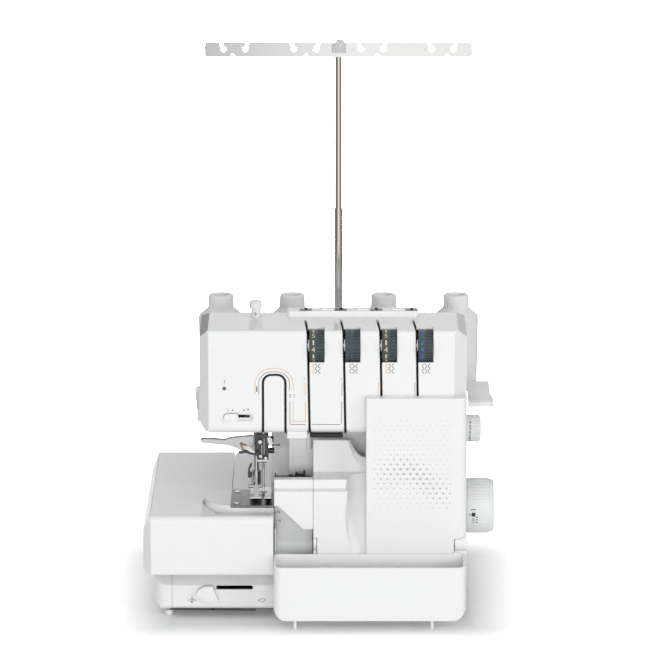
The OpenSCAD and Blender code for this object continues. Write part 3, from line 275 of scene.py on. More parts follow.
@dataclass(frozen=True)
class MouldedPlastic(Finish):
    """Injection-moulded plastic, from gloss shell to fine matte grain."""

    roughness: float = 0.16
    spread: float = 0.04
    tone: float = 0.985
    grain: float = 700.0
    depth: float = 0.000004
    edge: float = 0.0011
    coat: float = 0.0

    def build(self) -> bpy.types.Material:
        """Makes the material."""
        sheet = Sheet(self.name)
        flow = sheet.noise(14.0, 3.0)
        colour = sheet.blend(flow, self.colour, shade(self.colour, self.tone))
        rough = sheet.noise(120.0, 3.0) * self.spread + (self.roughness - self.spread / 2)
        normal = sheet.relief(sheet.noise(self.grain, 2.0), self.depth, self.edge)
        return sheet.surface(
            Base_Color=colour,
            Roughness=rough,
            Normal=normal,
            Coat_Weight=self.coat,
            Coat_Roughness=0.08,
        )


@dataclass(frozen=True)
class SkinnedFinish(Finish):
    """A fine skin, which may be drawn out along an axis, under broad smudges.

    Skin and smudges each have their cells per metre, octaves and share of the roughness.
    """

    roughness: float = 0.3
    along: Point = (1.0, 1.0, 1.0)
    skin: Point = (2600.0, 3.0, 0.14)
    smudges: Point = (60.0, 2.0, 0.08)
    tone: float = 0.86
    depth: float = 0.000006
    edge: float = 0.0003
    metallic: float = 1.0

    def build(self) -> bpy.types.Material:
        """Makes the material."""
        sheet = Sheet(self.name)
        skin = sheet.noise(*self.skin[:2], self.along)
        smudges = sheet.noise(*self.smudges[:2])
        low = self.roughness - (self.skin[2] + self.smudges[2]) / 2
        return sheet.surface(
            Base_Color=sheet.blend(smudges, self.colour, shade(self.colour, self.tone)),
            Metallic=self.metallic,
            Roughness=skin * self.skin[2] + smudges * self.smudges[2] + low,
            Normal=sheet.relief(skin, self.depth, self.edge),
        )


@dataclass(frozen=True)
class RolledSheet(Finish):
    """Bright rolled sheet, with painted shade that darkens its colour towards its left end."""

    right: Colour
    roughness: float = 0.3
    slope: float = 1.9
    start: float = 0.02

    def build(self) -> bpy.types.Material:
        """Makes the material."""
        sheet = Sheet(self.name)
        span = sheet.node("ShaderNodeTexCoord", output="Generated")
        along = sheet.node("ShaderNodeSeparateXYZ", {}, {"Vector": span})
        # painted shade: the colour runs from the darker left end to the bright right end along the
        # sheet
        colour = sheet.blend(along * self.slope - self.start, self.colour, self.right)
        grain = sheet.noise(1500.0, 2.0, (0.02, 1.0, 1.0))
        normal = sheet.relief(grain, 0.0000008, 0.0003)
        return sheet.surface(
            Base_Color=colour, Metallic=1.0, Roughness=grain * 0.06 + self.roughness, Normal=normal
        )


@dataclass(frozen=True)
class GrainedMetal(SkinnedFinish):
    """Ground or brushed metal, with fine scratches along one axis."""


@dataclass(frozen=True)
class PolishedMetal(SkinnedFinish):
    """Bright polished steel with faint handling marks."""

    roughness: float = 0.09
    skin: Point = (1800.0, 2.0, 0.0)
    smudges: Point = (260.0, 3.0, 0.04)
    tone: float = 0.96
    depth: float = 0.0000012
    edge: float = 0.0002


@dataclass(frozen=True)
class CastMetal(SkinnedFinish):
    """Die-cast metal with a pebbled skin."""

    roughness: float = 0.5
    skin: Point = (900.0, 4.0, 0.2)
    smudges: Point = (70.0, 3.0, 0.0)
    tone: float = 0.8
    depth: float = 0.00004
    edge: float = 0.0008


@dataclass(frozen=True)
class SoftRubber(SkinnedFinish):
    """Dull black rubber with a slight bloom in place of the smudges."""

    roughness: float = 0.775
    skin: Point = (1500.0, 2.0, 0.0)
    smudges: Point = (160.0, 4.0, 0.15)
    tone: float = 1.7
    depth: float = 0.00003
    metallic: float = 0.0


@dataclass(frozen=True)
class WoundThread(Finish):
    """White thread wound on a cone, with the crossing pitch of the winding."""

    pitch: float = 0.0006

    def build(self) -> bpy.types.Material:
        """Makes the material."""
        sheet = Sheet(self.name)
        winding = {"Scale": 0.314 / self.pitch, "Distortion": 1.2, "Detail": 1.0}
        waves = sheet.node(
            "ShaderNodeTexWave",
            {"wave_type": "BANDS", "bands_direction": "Z"},
            {"Vector": sheet.place(), **winding},
            "Fac",
        )
        colour = sheet.blend(waves, shade(self.colour, 0.93), self.colour)
        normal = sheet.relief(waves, 0.00008, 0.0012)
        return sheet.surface(Base_Color=colour, Roughness=0.62, Normal=normal, Sheen_Weight=0.15)


@dataclass(frozen=True)
class PrintInk(Finish):
    """Pad-printed ink, a little uneven in its cover."""

    def build(self) -> bpy.types.Material:
        """Makes the material."""
        sheet = Sheet(self.name)
        cover = sheet.noise(900.0, 3.0)
        colour = sheet.blend(cover, self.colour, shade(self.colour, 1.12))
        return sheet.surface(Base_Color=colour, Roughness=cover * 0.1 + 0.42)


FINISHES: Dict[str, Finish] = {
    "white_shell": MouldedPlastic("moulded white shell", (0.872, 0.872, 0.868), 0.09, 0.02),
    "pale_plastic": MouldedPlastic(
        "pale grey moulding", (0.8, 0.81, 0.815), 0.24, 0.06, edge=0.0007
    ),
    "holder_plastic": MouldedPlastic(
        "grey holder moulding", (0.56, 0.565, 0.57), 0.3, 0.08, edge=0.0006
    ),
    "bin_plastic": MouldedPlastic(
        "white bin moulding", (0.865, 0.866, 0.864), 0.2, 0.05, edge=0.0009
    ),
    "foot_plastic": MouldedPlastic("white foot", (0.83, 0.83, 0.83), 0.45, 0.1, edge=0.0005),
    "cone_white": WoundThread("wound white thread", (0.9, 0.905, 0.9)),
    "black_plastic": MouldedPlastic(
        "black fine-grained plastic", (0.012, 0.013, 0.015), 0.34, 0.1, 0.985, 1800.0, 2e-5, 4e-4
    ),
    "dial_charcoal": MouldedPlastic(
        "charcoal dial plastic", (0.05, 0.067, 0.073), 0.4, 0.1, 0.985, 1900.0, 2e-5, 4e-4
    ),
    "grey_plastic": MouldedPlastic(
        "mid-grey moulding", (0.24, 0.255, 0.265), 0.35, 0.1, 0.985, 1500.0, 1e-5, 6e-4
    ),
    "lens": MouldedPlastic("lamp lens", (0.1, 0.12, 0.12), 0.05, 0.02, edge=0.0004, coat=0.8),
    "plate_steel": GrainedMetal("ground needle plate", (0.42, 0.43, 0.435), 0.34, (1.0, 0.03, 1.0)),
    "polished_steel": PolishedMetal("polished steel", (0.8, 0.79, 0.77)),
    "satin_metal": GrainedMetal("satin nickel", (0.72, 0.73, 0.735), 0.2, (1.0, 1.0, 0.06)),
    "dark_steel": GrainedMetal("dark oxide steel", (0.1, 0.1, 0.105), 0.26, (0.1, 1.0, 1.0)),
    "cast_metal": CastMetal("die-cast frame", (0.45, 0.46, 0.47)),
    # the guide sheet's darker left end is painted shade
    "guide_aluminium": RolledSheet(
        "rolled guide sheet", (0.68, 0.685, 0.68), (0.985, 0.985, 0.98)
    ),
    "bronze": CastMetal("sintered bronze", (0.36, 0.235, 0.13), 0.42),
    "motor_case": MouldedPlastic(
        "enamelled motor case", (0.075, 0.08, 0.09), 0.4, 0.1, depth=0.00002
    ),
    "belt_rubber": SoftRubber("black belt rubber", (0.022, 0.022, 0.023)),
}
OWN_FINISH = {"guide_holder": "holder_plastic"}  # nodes that differ from their slot


class Ink(Enum):
    """Colours that the printed marks come in."""

    DARK = (0.035, 0.04, 0.045)
    SLATE = (0.09, 0.1, 0.115)
    ORANGE = (0.74, 0.38, 0.11)
    GREY = (0.5, 0.515, 0.53)
    CREAM = (0.75, 0.6, 0.38)
    BLUE = (0.03, 0.17, 0.5)
    PALE = (0.5, 0.505, 0.515)


class FinishShelf:
    """Makes each finish once and hands it out by slot or ink."""

    def __init__(self) -> None:
        """Starts with nothing mixed."""
        self._made: Dict[str, bpy.types.Material] = {}

    def slot(self, name: str) -> bpy.types.Material:
        """The material of a record slot."""
        if name not in self._made:
            self._made[name] = FINISHES[name].build()
        return self._made[name]

    def ink(self, ink: Ink) -> bpy.types.Material:
        """The material of a printing ink."""
        key = f"{ink.name.lower()} ink"
        if key not in self._made:
            self._made[key] = PrintInk(key, ink.value).build()
        return self._made[key]


# --- Bench tools ---


def mm(*values: float) -> Vector:
    """A point given in millimetres, in metres."""
    return Vector([value * MM for value in values])


def only(obj: Piece) -> None:
    """Selects one object and makes it active."""
    bpy.ops.object.select_all(action="DESELECT")
    obj.select_set(True)
    bpy.context.view_layer.objects.active = obj


@contextmanager
def edit_mode(obj: Piece, selected: bool = False) -> Iterator[bmesh.types.BMesh]:
    """Opens an object in edit mode.

    Args:
        obj: The mesh object.
        selected: Whether all of it is selected, or nothing.

    Returns:
        The edit mesh, for choosing what the operators act on.
    """
    only(obj)
    bpy.ops.object.mode_set(mode="EDIT")
    bpy.ops.mesh.select_all(action="SELECT" if selected else "DESELECT")
    try:
        yield bmesh.from_edit_mesh(obj.data)
    finally:
        bpy.ops.object.mode_set(mode="OBJECT")


def choose(mesh: bmesh.types.BMesh, test: Callable[[bmesh.types.BMFace], bool]) -> None:
    """Selects the faces that pass a test.

    Args:
        mesh: The edit mesh.
        test: Says whether a face is chosen.
    """
    for face in mesh.faces:
        face.select_set(test(face))
    mesh.select_flush_mode()


def settle(obj: Piece) -> Piece:
    """Moves an object's place, turn and size into its mesh."""
    only(obj)
    bpy.ops.object.transform_apply(location=True, rotation=True, scale=True)
    return obj


def copy_to(template: Piece, matrix: Matrix) -> Piece:
    """Copies a piece, with a mesh of its own, to another place.

    Args:
        template: The piece as modelled at the origin.
        matrix: Where the copy goes.

    Returns:
        The copy, settled.
    """
    made = template.copy()
    made.data = template.data.copy()
    bpy.context.scene.collection.objects.link(made)
    made.data.transform(matrix)
    return made


def fuse(parts: Sequence[Piece], name: str) -> Piece:
    """Joins several meshes into one named piece.

    Args:
        parts: The meshes.
        name: The piece's name.

    Returns:
        The joined piece.
    """
    bpy.ops.object.select_all(action="DESELECT")
    for part in parts:
        part.select_set(True)
    bpy.context.view_layer.objects.active = parts[0]
    if len(parts) > 1:
        bpy.ops.object.join()
    parts[0].name = name
    parts[0].data.name = name
    return parts[0]


def hand_over(obj: Piece, body: str, material: bpy.types.Material) -> None:
    """Gives a finished piece its material and the body it rides on.

    Args:
        obj: The piece.
        body: The moving body that carries it.
        material: Its finish.
    """
    obj.data.materials.clear()
    obj.data.materials.append(material)
    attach(obj, body)
    LOG.info("%s rides on %s, %d faces", obj.name, body, len(obj.data.polygons))


# --- Printed marks ---


class Stencil:
    """Flat printed shapes on an upright face, gathered into one piece for each ink."""

    def __init__(self, face_y: float) -> None:
        """Starts a stencil.

        Args:
            face_y: The Y of the face that is printed, in mm.
        """
        self.y = (face_y - PROUD) * MM
        self.parts: List[Piece] = []

    def _patch(self, x: float, z: float, length: float, width: float, tilt: float) -> None:
        """Prints a rectangle.

        Args:
            x: Its middle, in mm.
            z: Its middle, in mm.
            length: Its length, in mm.
            width: Its width, in mm.
            tilt: How far its length turns down from X, in radians.
        """
        bpy.ops.mesh.primitive_plane_add(size=1, rotation=(math.pi / 2, 0, 0))
        made = bpy.context.object
        made.scale = (length * MM, width * MM, 1)
        settle(made)
        place = Matrix.Translation((x * MM, self.y, z * MM))
        made.data.transform(place @ Matrix.Rotation(tilt, 4, "Y"))
        self.parts.append(made)

    def bar(self, x0: float, z0: float, x1: float, z1: float) -> None:
        """Prints an upright rectangle between two corners, in mm."""
        self._patch((x0 + x1) / 2, (z0 + z1) / 2, abs(x1 - x0), abs(z1 - z0), 0.0)

    def stroke(self, x0: float, z0: float, x1: float, z1: float, width: float) -> None:
        """Prints a straight line of a given width between two points, in mm."""
        length = math.hypot(x1 - x0, z1 - z0) + width
        tilt = -math.atan2(z1 - z0, x1 - x0)
        self._patch((x0 + x1) / 2, (z0 + z1) / 2, length, width, tilt)

    def path(self, points: Sequence[Tuple[float, float]], width: float) -> None:
        """Prints joined strokes through points, in mm."""
        for (x0, z0), (x1, z1) in zip(points, points[1:]):
            self.stroke(x0, z0, x1, z1, width)

    def arc(
        self, x: float, z: float, radius: float, width: float, start: float, end: float
    ) -> None:
        """Prints a bent stroke.

        Args:
            x: Centre.
            z: Centre.
            radius: Radius of the stroke's middle, in mm.
            width: Width of the stroke, in mm.
            start: First angle in degrees, from +X towards +Z.
            end: Last angle in degrees.
        """
        steps = 10
        centre = Vector((x * MM, self.y, z * MM))
        bpy.ops.mesh.primitive_grid_add(x_subdivisions=steps, y_subdivisions=1, size=1)
        made = bpy.context.object
        for vertex in made.data.vertices:
            angle = math.radians(start + (end - start) * (vertex.co.x + 0.5))
            reach = (radius + vertex.co.y * width) * MM
            vertex.co = centre + Vector((math.cos(angle) * reach, 0, math.sin(angle) * reach))
        self.parts.append(made)

    def spot(self, x: float, z: float, radius: float, sides: int = 16) -> None:
        """Prints a filled dot with a number of sides, in mm."""
        bpy.ops.mesh.primitive_circle_add(
            vertices=sides,
            radius=radius * MM,
            fill_type="NGON",
            location=(x * MM, self.y, z * MM),
            rotation=(math.pi / 2, 0, 0),
        )
        self.parts.append(settle(bpy.context.object))

    def figure(self, text: str, x: float, z: float, size: float) -> None:
        """Prints a figure or a sign centred on a point.

        Args:
            text: The figure.
            x: Its middle, in mm.
            z: Its middle, in mm.
            size: Height of a capital, in mm.
        """
        bpy.ops.object.text_add()
        made = bpy.context.object
        made.data.body = text
        made.data.size = size * MM / CAPITAL
        made.data.align_x = "CENTER"
        made.data.align_y = "CENTER"
        made.data.resolution_u = 3
        only(made)
        bpy.ops.object.convert(target="MESH")
        made = bpy.context.object
        place = Matrix.Translation((x * MM, self.y, z * MM)) @ Matrix.Rotation(math.pi / 2, 4, "X")
        made.data.transform(place)
        self.parts.append(made)

    def wrap(self, bent: int, middle: float, centre_y: float, radius: float, cuts: int = 1) -> None:
        """Lays the flat print round a roller.

        Args:
            bent: The axis that is bent: 2 round a roller along X, 0 round an upright one.
            middle: The roller's axis and the print's middle along that axis, in mm.
            centre_y: The roller's axis in Y, in mm.
            radius: The roller's radius, in mm.
            cuts: How often each face is cut first, so that it bends.
        """
        reach = (radius + PROUD) * MM
        for part in self.parts:
            with edit_mode(part, selected=True):
                bpy.ops.mesh.subdivide(number_cuts=cuts)
            for vertex in part.data.vertices:
                angle = (vertex.co[bent] - middle * MM) / (radius * MM)
                vertex.co[bent] = middle * MM + reach * math.sin(angle)
                vertex.co.y = centre_y * MM - reach * math.cos(angle)

    def finish(self, name: str, body: str, shelf: FinishShelf, ink: Ink) -> None:
        """Joins the print and hands it over.

        Args:
            name: The piece's name.
            body: The body that carries it.
            shelf: Where the ink is.
            ink: The ink.
        """
        made = fuse(self.parts, name)
        with edit_mode(made, selected=True):
            bpy.ops.mesh.remove_doubles(threshold=1e-7)
        hand_over(made, body, shelf.ink(ink))
        self.parts = []


@dataclass
class HeadMarks:
    """Thread-path lines, stitch signs and setting marks on the front of the head."""

    face_y: float = -98.0
    arch_x: float = -45.5
    arch_top: float = 252.5
    arch_half: float = 12.4
    signs: Tuple[float, ...] = (-3.3, 34.0, 70.3, 106.6)
    line: float = 0.55
    recess: float = 3.5
    slate_routes: Tuple[Route, ...] = (
        ((-29.8, 223.8), (-29.8, 201.6)),
        ((-7.2, 200.2), (20.6, 200.2)),
        ((22.0, 201.4), (22.3, 223.6)),
        ((22.4, 230.5), (22.6, 243.6)),
        ((95.3, 208.0), (95.5, 223.6)),
        ((95.6, 230.5), (95.7, 243.6)),
    )
    orange_routes: Tuple[Route, ...] = (
        ((-26.6, 223.8), (-26.6, 203.4), (-14.0, 203.4), (-14.2, 223.6)),
        ((-14.4, 230.5), (-14.5, 243.6)),
        ((59.0, 230.5), (59.1, 243.6)),
    )

    def _arch(self, stencil: Stencil, outside: float, rise: float, foot: float) -> None:
        """Draws one line round the arch.

        Args:
            stencil: What it is printed with.
            outside: How far outside the channel its legs run, in mm.
            rise: How far above the channel it crosses, in mm.
            foot: The Z that its right leg ends at.
        """
        half = self.arch_half + outside
        radius = 9.5 + outside
        top = self.arch_top + rise
        left, right = self.arch_x - half, self.arch_x + half
        stencil.bar(left - self.line / 2, 231.4, left + self.line / 2, top - radius)
        stencil.bar(right - self.line / 2, foot, right + self.line / 2, top - radius)
        stencil.bar(left + radius, top - self.line / 2, right - radius, top + self.line / 2)
        stencil.arc(left + radius, top - radius, radius, self.line, 90, 180)
        stencil.arc(right - radius, top - radius, radius, self.line, 0, 90)

    def _stitch_sign(self, dark: Stencil, light: Stencil, x: float) -> None:
        """Prints the small rows of stitches under one dial.

        Args:
            dark: Stencil for the needle threads.
            light: Stencil for the other threads.
            x: Middle of the sign.
        """
        for column in range(3):
            for row in range(4):
                px, pz = x - 3.0 + column * 3.0, 254.0 + row * 2.6
                lean = 0.8 if (row + column) % 2 else -0.8
                stencil = dark if column else light
                stencil.stroke(px - lean, pz - 0.8, px + lean, pz + 0.8, 0.62)

    def build(self, shelf: FinishShelf) -> None:
        """Prints all the marks of the head."""
        slate, orange, dark = Stencil(self.face_y), Stencil(self.face_y), Stencil(self.face_y)
        self._arch(slate, 3.0, 2.1, 235.6)
        self._arch(orange, 6.7, 5.4, 235.6)
        for stencil, routes in ((slate, self.slate_routes), (orange, self.orange_routes)):
            for route in routes:
                stencil.path(route, self.line)
        slate.arc(-28.2, 201.8, 1.6, self.line, 180, 270)
        slate.bar(-28.2, 199.9, -14.2, 200.5)
        slate.figure("5", -29.6, 229.6, 3.4)
        orange.figure("5", -25.6, 229.6, 3.4)
        orange.figure("4", -15.0, 247.2, 2.4)
        slate.figure("2", 22.0, 247.2, 2.4)
        orange.figure("1", 58.6, 247.2, 2.4)
        dark.bar(-63.4, 233.9, -62.4, 239.6)
        dark.figure("!", -95.3, 243.9, 4.0)
        dark.figure("L", -91.6, 215.4, 2.6)
        dark.figure("R", -71.4, 215.4, 2.6)
        dark.spot(-87.3, 215.0, 0.75)
        dark.spot(-75.9, 215.0, 0.75)
        for index, x in enumerate(self.signs):
            self._stitch_sign(dark, orange if index % 2 == 0 else slate, x)
        slate.finish("thread_path_slate", "machine", shelf, Ink.SLATE)
        orange.finish("thread_path_orange", "machine", shelf, Ink.ORANGE)
        dark.finish("setting_marks", "machine", shelf, Ink.DARK)
        slider = Stencil(self.face_y + self.recess)
        slider.stroke(-73.9, 208.0, -71.4, 208.0, 2.2)
        slider.finish("slider_mark", "machine", shelf, Ink.DARK)


@dataclass
class TensionDialMarks:
    """Figures and half marks round the smooth side of each tension dial."""

    axis_y: float = -86.0
    axis_z: float = 278.5
    radius: float = 16.5
    columns: Tuple[float, ...] = (-6.1, 29.8, 66.6, 102.9)
    inks: Tuple[Ink, ...] = (Ink.CREAM, Ink.DARK, Ink.CREAM, Ink.BLUE)
    figures: str = "5432106"
    first: float = 50.0

    def build(self, shelf: FinishShelf) -> None:
        """Prints the four dials."""
        step = 2 * math.pi * self.radius / len(self.figures)
        for index, (x, ink) in enumerate(zip(self.columns, self.inks)):
            print_on = Stencil(self.axis_y - self.radius)
            for place, figure in enumerate(self.figures):
                z = self.axis_z + math.radians(self.first) * self.radius - place * step
                print_on.figure(figure, x, z, 5.0)
                print_on.bar(x - 0.75, z - step / 2 - 2.5, x + 0.75, z - step / 2 + 2.5)
            print_on.wrap(2, self.axis_z, self.axis_y, self.radius)
            print_on.finish(f"dial_{index + 1}_figures", f"dial_{index + 1}", shelf, ink)


@dataclass
class CoverPrint:
    """Grey diamonds in staggered rows that shrink away from a middle band."""

    face_y: float = -110.0
    left: float = 55.0
    right: float = 134.0
    bottom: float = 117.0
    top: float = 208.0
    pitch_x: float = 6.6
    pitch_z: float = 5.0
    band: float = 0.3
    wave: float = 0.13
    spread: float = 0.03
    smallest: float = 0.5
    swell: float = 1.35
    end_share: float = 0.35

    def build(self, shelf: FinishShelf) -> None:
        """Prints the rows."""
        template = self._diamond()
        parts: List[Piece] = []
        rows = int((self.top - self.bottom) / self.pitch_z)
        for row in range(rows + 1):
            z = self.bottom + row * self.pitch_z
            shift = (row % 2) * self.pitch_x / 2
            columns = int((self.right - self.left - shift) / self.pitch_x)
            for column in range(columns + 1):
                x = self.left + shift + column * self.pitch_x
                across = (x - self.left) / (self.right - self.left)
                up = (z - self.bottom) / (self.top - self.bottom)
                off = up - self.band - self.wave * math.sin(1.5 * math.pi * across)
                middle = self.end_share + (1 - self.end_share) * math.sin(math.pi * across)
                size = self.smallest + self.swell * math.exp(-(off ** 2) / self.spread) * middle
                place = Matrix.Translation(mm(x, self.face_y - PROUD, z))
                parts.append(copy_to(template, place @ Matrix.Scale(size, 4)))
        bpy.data.objects.remove(template)
        made = fuse(parts, "cover_diamonds")
        hand_over(made, "cover", shelf.ink(Ink.PALE))

    @staticmethod
    def _diamond() -> Piece:
        """One diamond of half height 1 mm, facing the front."""
        bpy.ops.mesh.primitive_circle_add(
            vertices=4, radius=MM, fill_type="NGON", rotation=(math.pi / 2, 0, 0)
        )
        made = bpy.context.object
        made.scale = (1.25, 0.9, 1)
        return settle(made)


@dataclass
class BaseMarks:
    """Two small cloth signs and a dark strip of painted shadow on the lever panel, and the scale
    beside the needle plate.
    """

    panel_y: float = -100.0
    chute_y: float = -76.0
    signs: Route = ((-129.3, 17.6), (-58.4, 17.6))
    # a dark strip of painted shadow along the foot of the lever panel, and its width, in mm
    painted_shadow_strip: Route = ((-150.6, 8.4), (-108.0, 7.9), (-65.5, 7.4))
    painted_shadow_width: float = 1.9
    line: float = 0.4
    fine: float = 0.35

    def build(self, shelf: FinishShelf) -> None:
        """Prints the signs, a dark strip of painted shadow along the foot of the panel, and the
        scale.
        """
        ink = Stencil(self.panel_y)
        for index, (x, z) in enumerate(self.signs):
            cloth = [(x - 3.6, z), (x, z + 1.9), (x + 3.6, z), (x, z - 1.9), (x - 3.6, z)]
            ink.path(cloth, self.fine)
            if index == 0:
                ink.stroke(x, z - 3.4, x, z + 3.2, 0.5)
                ink.stroke(x - 1.2, z - 1.4, x + 2.2, z + 1.6, self.fine)
            else:
                ink.stroke(x + 2.2, z + 1.4, x + 4.2, z + 1.0, self.line)
        ink.finish("cloth_signs", "machine", shelf, Ink.DARK)
        # painted shadow: a dark ink strip along the foot of the panel, where it is in shade
        ink.path(self.painted_shadow_strip, self.painted_shadow_width)
        ink.finish("base_seam", "machine", shelf, Ink.DARK)
        scale = Stencil(self.chute_y)
        scale.figure("N", -41.8, 103.4, 2.8)
        scale.path([(-45.0, 102.2), (-44.2, 103.4), (-45.0, 104.6)], self.line)
        scale.figure("35", -40.6, 94.2, 2.2)
        scale.stroke(-45.0, 94.2, -43.8, 94.2, self.line)
        scale.finish("trim_scale", "machine", shelf, Ink.DARK)


@dataclass
class GuidePlateMarks:
    """Small grey figures that number the notches of the thread guide."""

    middle_z: float = 549.0
    figures: str = "12122121"
    places: Tuple[float, ...] = (-110.4, -86.4, -34.6, -10.6, 34.0, 58.0, 108.2, 130.4)

    def build(self, shelf: FinishShelf) -> None:
        """Prints the figures."""
        low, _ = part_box("thread_guide_plate")
        ink = Stencil(low.y / MM)
        for figure, x in zip(self.figures, self.places):
            ink.figure(figure, x, self.middle_z, 3.2)
        ink.finish("guide_figures", "guide", shelf, Ink.GREY)


@dataclass
class KnobMarks:
    """A cross and two dots on the neck of the foot pressure knob."""

    neck: Tuple[float, float] = (-64.7, -32.0)
    radius: float = 5.0
    height: float = 300.2
    line: float = 0.6

    def build(self, shelf: FinishShelf) -> None:
        """Prints the neck."""
        x, y = self.neck
        ink = Stencil(y - self.radius)
        ink.stroke(x, self.height - 1.6, x, self.height + 2.4, self.line)
        ink.stroke(x - 1.5, self.height, x + 1.5, self.height, self.line)
        for away in (-3.9, 3.9):
            ink.spot(x + away, self.height, 0.4)
        ink.wrap(0, x, y, self.radius, cuts=5)
        ink.finish("pressure_mark", "pressure", shelf, Ink.DARK)


@dataclass
class SideDialMarks:
    """Dark figures on the rims of the handwheel and the stitch length dial."""

    wheel_axis: Tuple[float, float] = (-20.0, 96.0)
    wheel_rim: float = 28.15
    dial_axis: Tuple[float, float] = (-40.0, 182.0)
    dial_rim: float = 14.0
    figures: str = "432R"
    pitch: float = 6.0

    def build(self, shelf: FinishShelf) -> None:
        """Prints both rims."""
        y, z = self.wheel_axis
        wheel = Stencil(y - self.wheel_rim)
        for place in range(4):
            wheel.bar(159.2, 80.6 + place * 3.1, 161.4, 81.5 + place * 3.1)
        wheel.stroke(154.2, 98.4, 158.6, 98.4, 0.8)
        wheel.bar(155.0, 91.0, 158.8, 95.2)
        wheel.figure("0", 156.6, 87.2, 3.4)
        wheel.figure("+", 156.6, 83.0, 3.4)
        wheel.path([(152.6, 92.0), (154.0, 93.1), (152.6, 94.2)], 0.5)
        wheel.wrap(2, z, y, self.wheel_rim)
        wheel.finish("handwheel_marks", "drive", shelf, Ink.DARK)
        y, z = self.dial_axis
        dial = Stencil(y - self.dial_rim)
        for place, figure in enumerate(self.figures):
            dial.figure(figure, 152.6, z + 9.4 - place * self.pitch, 3.8)
            dial.bar(151.6, z + 6.1 - place * self.pitch, 153.6, z + 6.7 - place * self.pitch)
        dial.wrap(2, z, y, self.dial_rim)
        dial.finish("stitch_dial_marks", "stitch", shelf, Ink.DARK)


# --- Shell pieces and small hardware ---


def raise_outline(corners: Sequence[Vector], shift: Vector) -> Piece:
    """Extrudes a closed outline into a block.

    Args:
        corners: The outline's corners in order.
        shift: How far and which way it is extruded.

    Returns:
        The block.
    """
    bpy.ops.mesh.primitive_circle_add(vertices=len(corners), radius=1.0, fill_type="NGON")
    made = bpy.context.object
    for vertex, corner in zip(made.data.vertices, corners):
        vertex.co = corner
    with edit_mode(made, selected=True):
        bpy.ops.mesh.extrude_region_move(TRANSFORM_OT_translate={"value": shift})
        bpy.ops.mesh.select_all(action="SELECT")
        bpy.ops.mesh.normals_make_consistent(inside=False)
    return made


def cut_plate(outline: Route, front: float, rear: float) -> Piece:
    """Cuts an upright plate to an outline and breaks its edges.

    Args:
        outline: Corners in X and Z, in mm.
        front: Y of its front face, in mm.
        rear: Y of its back face, in mm.

    Returns:
        The plate.
    """
    made = raise_outline([mm(x, front, z) for x, z in outline], mm(0, rear - front, 0))
    with edit_mode(made, selected=True):
        bpy.ops.mesh.bevel(offset=EDGE_BREAK * MM, segments=2, affect="EDGES")
    return made


@dataclass
class ColumnFlank:
    """The wider rear part of the column, which stands on the bed beside the throat."""

    left: float = -50.0
    right: float = -30.9
    front: float = 14.0
    step: float = 29.9
    rear: float = 120.0
    bed: float = 108.4
    under_stand: float = 171.9
    under_head: float = 189.9
    corner: float = 5.0

    def build(self, shelf: FinishShelf) -> None:
        """Raises the flank from one block and rounds its outer corners."""
        low = mm(self.left, self.front, self.bed)
        high = mm(self.right, self.rear, self.under_stand)
        bpy.ops.mesh.primitive_cube_add(size=1, location=(low + high) / 2)
        made = bpy.context.object
        made.scale = high - low
        settle(made)
        step, rise = self.step * MM, (self.under_head - self.under_stand) * MM
        with edit_mode(made, selected=True):
            bpy.ops.mesh.bisect(plane_co=(0, step, 0), plane_no=(0, 1, 0))
            mesh = bmesh.from_edit_mesh(made.data)
            choose(mesh, lambda face: face.normal.z > UPWARD and face.calc_center_median().y < step)
            bpy.ops.mesh.extrude_region_move(TRANSFORM_OT_translate={"value": (0, 0, rise)})
            mesh = bmesh.from_edit_mesh(made.data)
            for edge in mesh.edges:
                one, two = (vertex.co for vertex in edge.verts)
                upright = (one.xy - two.xy).length < 1e-6
                outer = abs(one.x - low.x) < 1e-6
                end = min(abs(one.y - low.y), abs(one.y - high.y)) < 1e-6
                edge.select_set(upright and outer and end)
            bpy.ops.mesh.bevel(offset=self.corner * MM, segments=8, affect="EDGES")
        only(made)
        bpy.ops.object.shade_smooth_by_angle(angle=math.radians(30))
        made.name = "column_flank"
        hand_over(made, "machine", shelf.slot("white_shell"))


@dataclass
class WellTray:
    """The floor of the table's well, round the free arm, with its left end run up to the table."""

    left: float = -118.6
    ramp: float = -98.0
    right: float = -47.2
    front: float = -100.9
    arm_middle: Tuple[float, float] = (-83.0, -50.0)
    arm_reach: float = 35.8
    arm_steps: int = 12
    low: float = 98.0
    floor: float = 101.0
    rise: float = 6.8

    def build(self, shelf: FinishShelf) -> None:
        """Cuts the floor to the arm's outline and lifts its left end."""
        x, y = self.arm_middle
        reach = self.arm_reach
        outline = [(self.left, self.front), (self.right, self.front), (self.right, y - reach)]
        for step in range(self.arm_steps + 1):
            angle = math.radians(270.0 - 84.0 * step / self.arm_steps)
            outline.append((x + reach * math.cos(angle), y + reach * math.sin(angle)))
        outline.append((self.left, outline[-1][1]))
        corners = [mm(*corner, self.low) for corner in outline]
        made = raise_outline(corners, mm(0, 0, self.floor - self.low))
        with edit_mode(made, selected=True):
            bpy.ops.mesh.bisect(plane_co=(self.ramp * MM, 0, 0), plane_no=(1, 0, 0))
            mesh = bmesh.from_edit_mesh(made.data)
            for vertex in mesh.verts:
                share = max(0.0, (vertex.co.x / MM - self.ramp) / (self.left - self.ramp))
                vertex.co.z += self.rise * share * MM
        made.name = "well_tray"
        hand_over(made, "table", shelf.slot("white_shell"))


